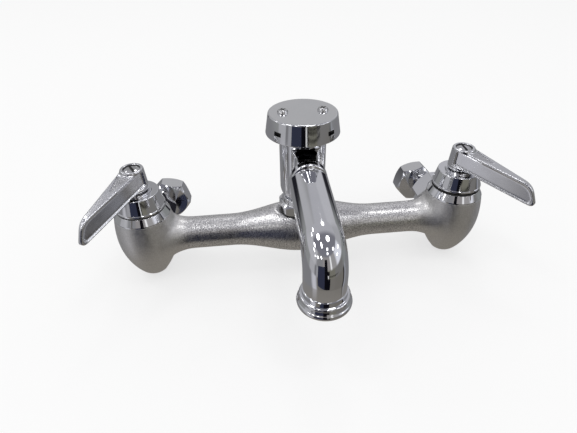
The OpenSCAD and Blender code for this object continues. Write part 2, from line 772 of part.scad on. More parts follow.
module breaker_seat() {
    color("goldenrod") at_yoke() difference() {
        translate([0, 0, seat_z]) ring(seat_r, seat_hole_r, seat_t);
        screw_holes(cap_screw_r + 0.2);
    }
}

module breaker_cap() {
    inner_top = cap_top - cap_wall;
    color("gainsboro") at_yoke() difference() {
        union() {
            difference() {
                rotate_extrude() polygon(concat(
                    [[0, cap_z], [cap_base_r - 0.5, cap_z], [cap_base_r, cap_z + 0.5]],
                    corner([cap_base_r, cap_z], [cap_top_r + 0.5, cap_top], [0, cap_top], 1.2),
                    [[0, cap_top]]));
                translate([0, 0, cap_z - eps])
                    cylinder(r1 = cap_base_r - cap_wall, r2 = cap_top_r - cap_wall, h = cap_h - cap_wall);
            }
            for (s = [-1, 1]) translate([s * cap_screw_spacing / 2, 0, seat_z + seat_t])
                cylinder(r = cap_post_r, h = inner_top - seat_z - seat_t + eps);
        }
        screw_holes(cap_screw_r + 0.15);
        for (a = [45 : 90 : 315]) rotate([0, 0, a + vent_turn])
            translate([cap_top_r - 3, -vent_w / 2, vent_z]) cube([6, vent_w, vent_h]);
    }
}

module cap_screws() {
    color("silver") at_yoke() for (s = [-1, 1]) translate([s * cap_screw_spacing / 2, 0, 0]) difference() {
        union() {
            translate([0, 0, cap_screw_end]) cylinder(r = cap_screw_r, h = cap_top - cap_screw_end + eps);
            translate([0, 0, cap_top]) rotate_extrude() polygon(concat(
                [[0, 0], [cap_head_r, 0], [cap_head_r, 0.7]],
                corner([cap_head_r, 0.7], [cap_head_r - 0.3, cap_head_h], [0, cap_head_h], 0.9),
                [[0, cap_head_h]]));
        }
        for (a = [0, 90]) rotate([0, 0, a + 20]) translate([-1.7, -0.4, cap_top + cap_head_h - 1])
            cube([3.4, 0.8, 2]);
    }
}

module breaker_float() {
    color("white") at_yoke() rotate_extrude() polygon([
        [0, chamber_z - 10], [float_pin_r, chamber_z - 10], [float_pin_r, chamber_z],
        [chamber_r - 0.8, chamber_z], [chamber_r - 0.8, chamber_z + 1.6],
        [2.6, chamber_z + 3], [2.6, float_top_z - 1],
        [chamber_r - 0.8, float_top_z + 0.6], [chamber_r - 0.8, float_seal_z], [0, float_seal_z]]);
}

module float_seal() {
    color("black") at_yoke() translate([0, 0, float_seal_z]) cylinder(r = seat_hole_r + 1.6, h = float_seal_t);
}

yoke_body();
spout_nut();
union_nut(-1);  // hot_union_nut
union_nut(1);  // cold_union_nut
union_washer(-1);  // hot_union_washer
union_washer(1);  // cold_union_washer
inlet_arm(-1);  // hot_inlet_arm
inlet_arm(1);  // cold_inlet_arm
cartridge(-1);  // hot_cartridge
cartridge(1);  // cold_cartridge
seat_seal(-1);  // hot_seat_seal
seat_seal(1);  // cold_seat_seal
fixed_disc(-1);  // hot_fixed_disc
fixed_disc(1);  // cold_fixed_disc
bonnet_ring(-1);  // hot_bonnet_ring
bonnet_ring(1);  // cold_bonnet_ring
bonnet(-1);  // hot_bonnet
bonnet(1);  // cold_bonnet
stem(-1);  // hot_stem
stem(1);  // cold_stem
stem_oring(-1);  // hot_stem_oring
stem_oring(1);  // cold_stem_oring
turning_disc(-1);  // hot_turning_disc
turning_disc(1);  // cold_turning_disc
lever(-1, hot_angle);  // hot_lever
lever(1, cold_angle);  // cold_lever
lever_screw(-1, hot_slot_angle);  // hot_lever_screw
lever_screw(1, cold_slot_angle);  // cold_lever_screw
spout_body();
spout_orings();
spout_split_ring();
outlet_collar();
outlet_washer();
flow_straightener();
breaker_gasket();
breaker_seat();
breaker_cap();
cap_screws();
breaker_float();
float_seal();
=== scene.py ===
"""Builds the looks of a wall-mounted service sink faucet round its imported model.

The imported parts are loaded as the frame. Every chrome piece that shows is modelled again with
rounded edges and stands for its plain solid, and the hidden pieces get their finish. Lengths are
in millimetres in the frame's axes while a piece is shaped, and in metres once it is finished.
"""

from __future__ import annotations

import json
import logging
import math
from collections.abc import Iterable, Sequence
from dataclasses import dataclass, field, replace
from enum import Enum
from functools import cache, cached_property

import bmesh
import bpy
from mathutils import Euler, Matrix, Vector


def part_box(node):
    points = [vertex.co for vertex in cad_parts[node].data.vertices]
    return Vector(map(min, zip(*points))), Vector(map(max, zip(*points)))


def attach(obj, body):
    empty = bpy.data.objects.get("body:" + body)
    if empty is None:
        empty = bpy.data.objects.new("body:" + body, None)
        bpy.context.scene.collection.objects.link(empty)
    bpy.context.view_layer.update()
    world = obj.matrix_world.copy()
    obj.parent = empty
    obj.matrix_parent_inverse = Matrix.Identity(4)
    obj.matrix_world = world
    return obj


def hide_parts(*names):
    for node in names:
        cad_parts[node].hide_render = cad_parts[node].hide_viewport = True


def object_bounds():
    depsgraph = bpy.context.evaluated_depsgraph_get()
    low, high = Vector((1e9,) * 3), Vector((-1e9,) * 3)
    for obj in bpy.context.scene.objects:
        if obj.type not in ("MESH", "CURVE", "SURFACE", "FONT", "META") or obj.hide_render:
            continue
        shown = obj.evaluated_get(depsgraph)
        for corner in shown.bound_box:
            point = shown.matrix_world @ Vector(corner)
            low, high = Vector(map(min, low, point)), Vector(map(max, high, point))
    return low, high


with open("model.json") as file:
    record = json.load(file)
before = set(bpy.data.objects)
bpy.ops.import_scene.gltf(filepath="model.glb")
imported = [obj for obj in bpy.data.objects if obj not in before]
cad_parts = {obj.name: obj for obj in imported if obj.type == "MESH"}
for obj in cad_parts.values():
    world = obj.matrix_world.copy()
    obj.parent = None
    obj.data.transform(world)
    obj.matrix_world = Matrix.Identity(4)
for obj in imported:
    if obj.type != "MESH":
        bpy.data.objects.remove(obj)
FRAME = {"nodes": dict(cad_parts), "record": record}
CAD_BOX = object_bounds()
MM = 0.001
LOG = logging.getLogger("faucet")

Corner = tuple[float, float, float]
Colour = tuple[float, float, float]


class Side(Enum):
    """The two valves, by the water they carry."""

    HOT = "hot"
    COLD = "cold"

    @property
    def sign(self) -> int:
        """-1 for the hot side, at -X, and 1 for the cold side."""
        return -1 if self is Side.HOT else 1

    def named(self, part: str) -> str:
        """The name of this side's part."""
        return f"{self.value}_{part}"


class Body(Enum):
    """The bodies that the pieces ride on."""

    YOKE = "yoke"
    SPOUT = "spout"
    HOT_VALVE = "hot_valve"
    COLD_VALVE = "cold_valve"


@dataclass(frozen=True)
class Extent:
    """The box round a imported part, in millimetres."""

    low: Vector
    high: Vector

    @classmethod
    def of(cls, node: str) -> Extent:
        """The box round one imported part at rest, by the part's name."""
        low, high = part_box(node)
        return cls(low / MM, high / MM)

    @property
    def centre(self) -> Vector:
        """The middle of the box."""
        return (self.low + self.high) / 2


def arc(centre: Vector, radius: float, start: float, end: float, steps: int = 10) -> list[Vector]:
    """Points along a flat arc.

    Args:
        centre: The arc's centre.
        radius: Its radius.
        start: Angle of the first point, in degrees.
        end: Angle of the last point, in degrees.
        steps: How many pieces the arc is cut into.

    Returns:
        The points, from start to end.
    """
    turns = [math.radians(start + (end - start) * i / steps) for i in range(steps + 1)]
    return [centre + radius * Vector((math.cos(t), math.sin(t))) for t in turns]


def rounded(corners: Sequence[Corner], closed: bool, steps: int = 5) -> list[Vector]:
    """Rounds the corners of a flat outline.

    Args:
        corners: Each corner's two coordinates and the radius that rounds it, 0 for a sharp one.
        closed: Whether the last corner joins the first.
        steps: How many pieces each round is cut into.

    Returns:
        The outline's points.
    """
    points: list[Vector] = []
    count = len(corners)
    for i, (x, z, radius) in enumerate(corners):
        here = Vector((x, z))
        if radius <= 0 or not (closed or 0 < i < count - 1):
            points.append(here)
            continue
        before = (Vector(corners[i - 1][:2]) - here).normalized()
        after = (Vector(corners[(i + 1) % count][:2]) - here).normalized()
        half = before.angle(after) / 2
        centre = here + (before + after).normalized() * radius / math.sin(half)
        start = here + before * radius / math.tan(half) - centre
        turn = math.copysign(math.pi - 2 * half, after.x * before.y - after.y * before.x)
        points += [centre + Matrix.Rotation(turn * k / steps, 2) @ start for k in range(steps + 1)]
    return points


def corner_radius(flats: float) -> float:
    """Distance from a hexagon's middle to its corners, by its width across its flats."""
    return flats / 2 / math.cos(math.radians(30))


class Shape:
    """A mesh in the making, in millimetres."""

    def __init__(self) -> None:
        """Starts with nothing in it."""
        self.bm = bmesh.new()

    @classmethod
    def turned(cls, outline: Sequence[Vector], closed: bool = False, steps: int = 128) -> Shape:
        """Turns an outline round the Z axis.

        Args:
            outline: Points, each a radius and a height.
            closed: Whether the last point joins the first, as on a ring.
            steps: How many pieces the turn is cut into.

        Returns:
            The turned solid.
        """
        shape = cls()
        bm = shape.bm
        verts = [bm.verts.new((p.x, 0.0, p.y)) for p in outline]
        pairs = list(zip(verts, verts[1:]))
        if closed:
            pairs.append((verts[-1], verts[0]))
        edges = [bm.edges.new(pair) for pair in pairs]
        bmesh.ops.spin(bm, geom=verts + edges, cent=(0, 0, 0), axis=(0, 0, 1), angle=math.tau,
                       steps=steps, use_merge=True)
        return shape.tidied()

    @classmethod
    def lathe(cls, corners: Sequence[Corner], closed: bool = False, steps: int = 128) -> Shape:
        """Turns corners, each a radius, a height and a rounding, round the Z axis."""
        return cls.turned(rounded(corners, closed), closed, steps)

    @classmethod
    def ring(cls, inner_r: float, outer_r: float, low: float, high: float) -> Shape:
        """A plain ring round the Z axis, between two radii and two heights."""
        corners = [(inner_r, low, 0), (outer_r, low, 0), (outer_r, high, 0), (inner_r, high, 0)]
        return cls.lathe(corners, closed=True)

    @classmethod
    def rod(cls, radius: float, low: float, high: float, steps: int = 96) -> Shape:
        """A plain cylinder on the Z axis.

        Args:
            radius: Its radius.
            low: Height of its foot.
            high: Height of its top.
            steps: How many sides it has.

        Returns:
            The cylinder.
        """
        shape = cls()
        bmesh.ops.create_cone(shape.bm, cap_ends=True, segments=steps, radius1=radius,
                              radius2=radius, depth=high - low)
        return shape.moved(Matrix.Translation((0, 0, (low + high) / 2)))

    @classmethod
    def hex_bar(cls, flats: float, low: float, high: float, turn: float, edge: float) -> Shape:
        """A hexagonal bar on the Z axis.

        Args:
            flats: Width across its flats.
            low: Height of its foot.
            high: Height of its top.
            turn: Direction of one corner, in degrees.
            edge: Radius that rounds its long edges.

        Returns:
            The bar.
        """
        shape = cls.rod(corner_radius(flats), low, high, 6)
        upright = [e for e in shape.bm.edges
                   if abs(e.verts[0].co.z - e.verts[1].co.z) > (high - low) / 2]
        bmesh.ops.bevel(shape.bm, geom=upright, offset=edge, segments=4, profile=0.5,
                        affect="EDGES", material=-1)
        # The cone starts with a corner towards +Y
        return shape.spun(turn - 90)

    @classmethod
    def block(cls, size: Vector, centre: Vector) -> Shape:
        """A box.

        Args:
            size: Its length along each axis.
            centre: Its middle.

        Returns:
            The box.
        """
        shape = cls()
        bmesh.ops.create_cube(shape.bm, size=1.0)
        return shape.moved(Matrix.Translation(centre) @ Matrix.Diagonal((*size, 1.0)))

    @classmethod
    def plate(cls, outline: Sequence[Vector], low: float, high: float) -> Shape:
        """An outline in the XY plane, thickened along Z.

        Args:
            outline: Its points.
            low: Height of its foot.
            high: Height of its top.

        Returns:
            The plate.
        """
        shape = cls()
        bm = shape.bm
        face = bm.faces.new([bm.verts.new((p.x, p.y, low)) for p in outline])
        made = bmesh.ops.extrude_face_region(bm, geom=[face])["geom"]
        tops = [v for v in made if isinstance(v, bmesh.types.BMVert)]
        bmesh.ops.translate(bm, verts=tops, vec=(0, 0, high - low))
        return shape.tidied()

    @classmethod
    def packed(cls, node: str) -> Shape:
        """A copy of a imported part, with its loose triangles joined.

        Args:
            node: The part's name.

        Returns:
            The copy.
        """
        shape = cls()
        shape.bm.from_mesh(FRAME["nodes"][node].data)
        bmesh.ops.scale(shape.bm, vec=(1 / MM,) * 3, verts=shape.bm.verts)
        return shape.tidied()

    def tidied(self) -> Shape:
        """Joins doubled points and turns every face outwards."""
        bmesh.ops.remove_doubles(self.bm, verts=self.bm.verts[:], dist=1e-4)
        bmesh.ops.recalc_face_normals(self.bm, faces=self.bm.faces[:])
        return self

    def moved(self, matrix: Matrix) -> Shape:
        """Moves, turns or stretches the whole shape, and gives it back."""
        bmesh.ops.transform(self.bm, matrix=matrix, verts=self.bm.verts[:])
        return self

    def spun(self, degrees: float) -> Shape:
        """Turns the whole shape round the Z axis, anticlockwise from above."""
        return self.moved(Matrix.Rotation(math.radians(degrees), 4, "Z"))

    def joined(self, *others: Shape) -> Shape:
        """Takes other shapes in, without cutting them.

        Args:
            others: The shapes, which are used up.

        Returns:
            The same shape.
        """
        for other in others:
            mesh = other.to_mesh("joined")
            self.bm.from_mesh(mesh)
            bpy.data.meshes.remove(mesh)
        return self

    def to_mesh(self, name: str) -> bpy.types.Mesh:
        """Ends the shape as a mesh.

        Args:
            name: The mesh's name.

        Returns:
            The mesh, in the shape's own units.
        """
        mesh = bpy.data.meshes.new(name)
        self.bm.to_mesh(mesh)
        self.bm.free()
        return mesh

    def to_object(self, name: str) -> bpy.types.Object:
        """Ends the shape as a helper object in the scene.

        Args:
            name: The object's name.

        Returns:
            The object.
        """
        obj = bpy.data.objects.new(name, self.to_mesh(name))
        bpy.context.scene.collection.objects.link(obj)
        return obj

    def combined(self, other: Shape, operation: str) -> Shape:
        """Joins, cuts or keeps what two shapes share.

        Args:
            other: The second shape, which is used up.
            operation: UNION, DIFFERENCE or INTERSECT.

        Returns:
            A new shape, and this one is used up.
        """
        base, tool = self.to_object("base"), other.to_object("tool")
        modifier = base.modifiers.new("combine", "BOOLEAN")
        modifier.object = tool
        modifier.operation = operation
        modifier.solver = "EXACT"
        shape = Shape.evaluated(base)
        Shape.discard(base, tool)
        return shape

    def remeshed(self, voxel: float, passes: int) -> Shape:
        """Fuses the shape into one even skin and softens it.

        Args:
            voxel: Length of the skin's faces.
            passes: How often the skin is smoothed.

        Returns:
            A new shape, and this one is used up.
        """
        base = self.to_object("base")
        modifier = base.modifiers.new("fuse", "REMESH")
        modifier.mode = "VOXEL"
        modifier.voxel_size = voxel
        shape = Shape.evaluated(base)
        Shape.discard(base)
        shape.softened(shape.bm.verts[:], passes)
        return shape

    def softened(self, verts: Sequence[bmesh.types.BMVert], passes: int) -> Shape:
        """Smooths some of the shape's points.

        Args:
            verts: The points.
            passes: How often they are smoothed.

        Returns:
            The same shape.
        """
        for _ in range(passes):
            bmesh.ops.smooth_vert(self.bm, verts=verts, factor=0.5, use_axis_x=True,
                                  use_axis_y=True, use_axis_z=True)
        return self

    @staticmethod
    def evaluated(obj: bpy.types.Object) -> Shape:
        """The shape of an object with its modifiers applied.

        Args:
            obj: The object.

        Returns:
            A new shape.
        """
        graph = bpy.context.evaluated_depsgraph_get()
        shape = Shape()
        shape.bm.from_object(obj, graph)
        return shape

    @staticmethod
    def discard(*objects: bpy.types.Object) -> None:
        """Removes helper objects and their meshes.

        Args:
            objects: The objects.
        """
        for obj in objects:
            mesh = obj.data
            bpy.data.objects.remove(obj)
            bpy.data.meshes.remove(mesh)


class Graph:
    """A tree of shader nodes, with short calls for its usual steps."""

    def __init__(self, tree: bpy.types.NodeTree) -> None:
        """Works on a tree of nodes."""
        self.tree = tree

    @staticmethod
    def emptied(owner: bpy.types.Material | bpy.types.World) -> Graph:
        """Gives a material or a world an empty tree.

        Args:
            owner: The material or world.

        Returns:
            The tree, ready for nodes.
        """
        owner.use_nodes = True
        graph = Graph(owner.node_tree)
        graph.tree.nodes.clear()
        return graph

    def node(self, kind: str) -> bpy.types.Node:
        """Adds a node, by its kind without the words that all shader nodes start with."""
        return self.tree.nodes.new(f"ShaderNode{kind}")

    def link(self, source: bpy.types.NodeSocket, target: bpy.types.NodeSocket) -> None:
        """Joins an output to an input."""
        self.tree.links.new(source, target)

    def spread(self, value: bpy.types.NodeSocket, span: tuple[float, float],
               result: tuple[float, float]) -> bpy.types.NodeSocket:
        """Maps one range of values to another, and holds it there.

        Args:
            value: The value.
            span: The range that it is read over.
            result: The range that it becomes.

        Returns:
            The mapped value.
        """
        node = self.node("MapRange")
        node.interpolation_type = "SMOOTHSTEP"
        node.inputs["From Min"].default_value = span[0]
        node.inputs["From Max"].default_value = span[1]
        node.inputs["To Min"].default_value = result[0]
        node.inputs["To Max"].default_value = result[1]
        self.link(value, node.inputs["Value"])
        return node.outputs["Result"]

    def math(self, operation: str, *values: bpy.types.NodeSocket | float) -> bpy.types.NodeSocket:
        """One step of arithmetic.

        Args:
            operation: The step, such as MULTIPLY.
            values: What it works on.

        Returns:
            The result.
        """
        node = self.node("Math")
        node.operation = operation
        for slot, value in zip(node.inputs, values):
            if isinstance(value, (int, float)):
                slot.default_value = value
            else:
                self.link(value, slot)
        return node.outputs["Value"]

    def mixed(self, share: bpy.types.NodeSocket, first: bpy.types.NodeSocket | Colour,
              second: bpy.types.NodeSocket | Colour) -> bpy.types.NodeSocket:
        """Mixes two colours.

        Args:
            share: 0 for the first colour and 1 for the second.
            first: A colour or a socket.
            second: A colour or a socket.

        Returns:
            The mixed colour.
        """
        node = self.node("Mix")
        node.data_type = "RGBA"
        self.link(share, node.inputs["Factor"])
        for name, colour in (("A", first), ("B", second)):
            if isinstance(colour, tuple):
                node.inputs[name].default_value = (*colour, 1.0)
            else:
                self.link(colour, node.inputs[name])
        return node.outputs["Result"]


class Surface(Graph):
    """The nodes of a finish's material."""

    def __init__(self, name: str) -> None:
        """Starts a material with a plain shader.

        Args:
            name: The material's name.
        """
        self.material = bpy.data.materials.new(name)
        self.material.use_nodes = True
        super().__init__(self.material.node_tree)
        self.shader = self.tree.nodes["Principled BSDF"]
        self.coords = self.node("TexCoord").outputs["Object"]

    @cached_property
    def place(self) -> bpy.types.Node:
        """The three coordinates of a point, in metres."""
        split = self.node("SeparateXYZ")
        self.link(self.coords, split.inputs["Vector"])
        return split

    @cached_property
    def aside(self) -> bpy.types.NodeSocket:
        """Distance from the faucet's middle plane, in metres."""
        return self.math("ABSOLUTE", self.place.outputs["X"])

    def noise(self, size: float, detail: float = 2.0) -> bpy.types.NodeSocket:
        """Cloudy noise over the object.

        Args:
            size: Width of its blotches, in millimetres.
            detail: How much finer noise is mixed in.

        Returns:
            A value from 0 to 1.
        """
        node = self.node("TexNoise")
        node.inputs["Scale"].default_value = 1 / (size * MM)
        node.inputs["Detail"].default_value = detail
        self.link(self.coords, node.inputs["Vector"])
        return node.outputs["Fac"]

    def bump(self, height: bpy.types.NodeSocket, depth: float) -> None:
        """Roughens the shader's surface.

        Args:
            height: The relief, from 0 to 1.
            depth: Its depth, in millimetres.
        """
        node = self.node("Bump")
        node.inputs["Distance"].default_value = depth * MM
        self.link(height, node.inputs["Height"])
        self.link(node.outputs["Normal"], self.shader.inputs["Normal"])


@dataclass(frozen=True)
class Finish:
    """A plain finish with a little mottling, which the other finishes build on."""

    slot: str
    dark: Colour
    light: Colour
    metallic: float = 0.0
    roughness: tuple[float, float] = (0.4, 0.5)
    mottle: float = 3.0
    mottle_span: tuple[float, float] = (0.3, 0.7)
    grain: float = 0.4
    grain_depth: float = 0.01
    name: str = ""

    @cache
    def material(self) -> bpy.types.Material:
        """The finish as a material, made once."""
        surface = Surface(self.name or self.slot)
        shader = surface.shader
        shader.inputs["Metallic"].default_value = self.metallic
        cloud = surface.noise(self.mottle)
        surface.link(self.shade(surface, cloud), shader.inputs["Base Color"])
        surface.link(self.gloss(surface, cloud), shader.inputs["Roughness"])
        surface.bump(self.relief(surface), self.grain_depth)
        return surface.material

    def shade(self, surface: Surface, cloud: bpy.types.NodeSocket) -> bpy.types.NodeSocket:
        """The finish's colour, by its mottling from 0 to 1."""
        return surface.mixed(cloud, self.dark, self.light)

    def gloss(self, surface: Surface, cloud: bpy.types.NodeSocket) -> bpy.types.NodeSocket:
        """The finish's roughness, by its mottling from 0 to 1."""
        return surface.spread(cloud, self.mottle_span, self.roughness)

    def relief(self, surface: Surface) -> bpy.types.NodeSocket:
        """The finish's fine relief, as a height from 0 to 1."""
        return surface.noise(self.grain)


@dataclass(frozen=True)
class CastChrome(Finish):
    """Chrome plate over a sand casting: a sparkling grain on the bar and satin bulbs."""

    bulb_from: float = 70.0
    bulb_to: float = 86.0
    bulb_share: float = 0.3
    bulb_satin: float = 0.14
    bulb_specks: float = 0.2
    speck: float = 0.75
    speck_span: tuple[float, float] = (0.36, 0.64)
    speck_dark: Colour = (0.56, 0.555, 0.56)
    speck_light: Colour = (1.0, 0.99, 0.98)

    def towards_bulb(self, surface: Surface, bar: float, bulb: float) -> bpy.types.NodeSocket:
        """A value that changes from the bar's to the bulbs' where the bar runs into them."""
        return surface.spread(surface.aside, (self.bulb_from * MM, self.bulb_to * MM), (bar, bulb))

    def shade(self, surface: Surface, cloud: bpy.types.NodeSocket) -> bpy.types.NodeSocket:
        """Light and dark specks, strong on the bar and faint on the bulbs.

        Args:
            surface: The material's nodes.
            cloud: The mottling, from 0 to 1.

        Returns:
            The colour.
        """
        plain = super().shade(surface, cloud)
        grains = surface.spread(surface.noise(self.speck, 1.0), self.speck_span, (0.0, 1.0))
        specks = surface.mixed(grains, self.speck_dark, self.speck_light)
        return surface.mixed(self.towards_bulb(surface, 1.0, self.bulb_specks), plain, specks)

    def gloss(self, surface: Surface, cloud: bpy.types.NodeSocket) -> bpy.types.NodeSocket:
        """The bar's gloss, with a softer one on the bulbs."""
        satin = self.towards_bulb(surface, 0.0, self.bulb_satin)
        return surface.math("ADD", super().gloss(surface, cloud), satin)

    def relief(self, surface: Surface) -> bpy.types.NodeSocket:
        """The grain of the casting, which fades towards the bulbs."""
        bar = self.towards_bulb(surface, 1.0, self.bulb_share)
        return surface.math("MULTIPLY", surface.noise(self.grain, 1.0), bar)


@dataclass(frozen=True)
class HollowChrome(Finish):
    """Chrome with painted shade in the saddle's hollow, between its bright flanks."""

    hollow_shade: Colour = (0.012, 0.012, 0.014)
    half_width: float = 5.9
    flank: float = 1.0
    hollow_z: float = 55.0
    fade: float = 2.0

    def shade(self, surface: Surface, cloud: bpy.types.NodeSocket) -> bpy.types.NodeSocket:
        """The chrome's colour, with painted shade between the flanks and above the hollow's foot.

        Args:
            surface: The material's nodes.
            cloud: The mottling, from 0 to 1.

        Returns:
            The colour.
        """
        # Painted shade: near black where little light gets into the hollow.
        between = surface.spread(surface.aside, ((self.half_width - self.flank) * MM,
                                                 self.half_width * MM), (1.0, 0.0))
        above = surface.spread(surface.place.outputs["Z"],
                               (self.hollow_z * MM, (self.hollow_z + self.fade) * MM), (0.0, 1.0))
        inside = surface.math("MULTIPLY", between, above)
        return surface.mixed(inside, super().shade(surface, cloud), self.hollow_shade)


CHROME_DARK: Colour = (0.80, 0.81, 0.83)
CHROME_LIGHT: Colour = (0.86, 0.86, 0.88)
CAST_CHROME = CastChrome("rough_chrome", (0.82, 0.81, 0.79), (0.92, 0.91, 0.89), 1.0, (0.27, 0.35),
                         mottle=2.0, grain=0.9, grain_depth=0.1)
POLISHED_CHROME = Finish("polished_chrome", CHROME_DARK, CHROME_LIGHT, 1.0, (0.04, 0.08),
                         mottle=9.0, grain=14.0, grain_depth=0.02)
HOLLOW_CHROME = HollowChrome("polished_chrome", CHROME_DARK, CHROME_LIGHT, 1.0, (0.04, 0.08),
                             mottle=9.0, grain=14.0, grain_depth=0.02, name="chrome_with_painted_shade")
SATIN_CHROME = replace(POLISHED_CHROME, roughness=(0.17, 0.23), name="satin_chrome")
FROSTED_CHROME = Finish("polished_chrome", (0.30, 0.30, 0.32), (1.0, 1.0, 1.0), 1.0, (0.2, 0.35),
                        mottle=1.1, grain=1.0, grain_depth=0.12, name="frosted_chrome")
SCREW_STEEL = Finish("screw_steel", (0.62, 0.62, 0.63), (0.72, 0.72, 0.72), 1.0, (0.12, 0.2),
                     mottle=1.5, grain=0.6, grain_depth=0.02)
BRASS = Finish("brass", (0.66, 0.48, 0.2), (0.78, 0.6, 0.3), 1.0, (0.2, 0.32), grain_depth=0.02)
# Black rubber for the rubber parts, and the black of the pieces that paint shade.
RUBBER_AND_PAINTED_SHADE = Finish("black_rubber", (0.012, 0.012, 0.012), (0.03, 0.03, 0.03), 0.0, (0.5, 0.7))
CERAMIC = Finish("ceramic", (0.86, 0.84, 0.78), (0.92, 0.9, 0.86), 0.0, (0.12, 0.2))
WHITE_PLASTIC = Finish("white_plastic", (0.82, 0.82, 0.8), (0.88, 0.88, 0.87), 0.0, (0.3, 0.4))
FINISHES = {f.slot: f for f in (CAST_CHROME, POLISHED_CHROME, SCREW_STEEL, BRASS, RUBBER_AND_PAINTED_SHADE,
                                CERAMIC, WHITE_PLASTIC)}


@dataclass(frozen=True)
class Maker:
    """Ends shapes as pieces of the faucet."""

    sharp_angle: float = 38.0

    def piece(self, shape: Shape, name: str, finish: Finish, body: Body,
              replaces: Iterable[str] = (), even: bool = True) -> bpy.types.Object:
        """Ends a shape as a finished piece that rides on a body.

        Args:
            shape: The shape, in millimetres, which is used up.
            name: The piece's name.
            finish: Its finish.
            body: The body that it moves with.
            replaces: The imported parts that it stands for.
            even: Whether broad faces keep their own shading beside rounded edges.

        Returns:
            The piece.
        """
        bmesh.ops.scale(shape.bm, vec=(MM,) * 3, verts=shape.bm.verts)
        mesh = shape.to_mesh(name)
        mesh.materials.append(finish.material())
        mesh.shade_smooth()
        obj = bpy.data.objects.new(name, mesh)
        bpy.context.scene.collection.objects.link(obj)
        if even:
            mesh.set_sharp_from_angle(angle=math.radians(self.sharp_angle))
            obj.modifiers.new("even shading", "WEIGHTED_NORMAL").keep_sharp = True
        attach(obj, body.value)
        if replaces:
            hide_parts(*replaces)
        LOG.info("%s rides on %s with %d faces", name, body.value, len(mesh.polygons))
        return obj


MAKER = Maker()
LYING_ALONG_Y = Matrix.Rotation(math.radians(-90), 4, "X")
LYING_ALONG_X = Matrix.Rotation(math.radians(90), 4, "Y")


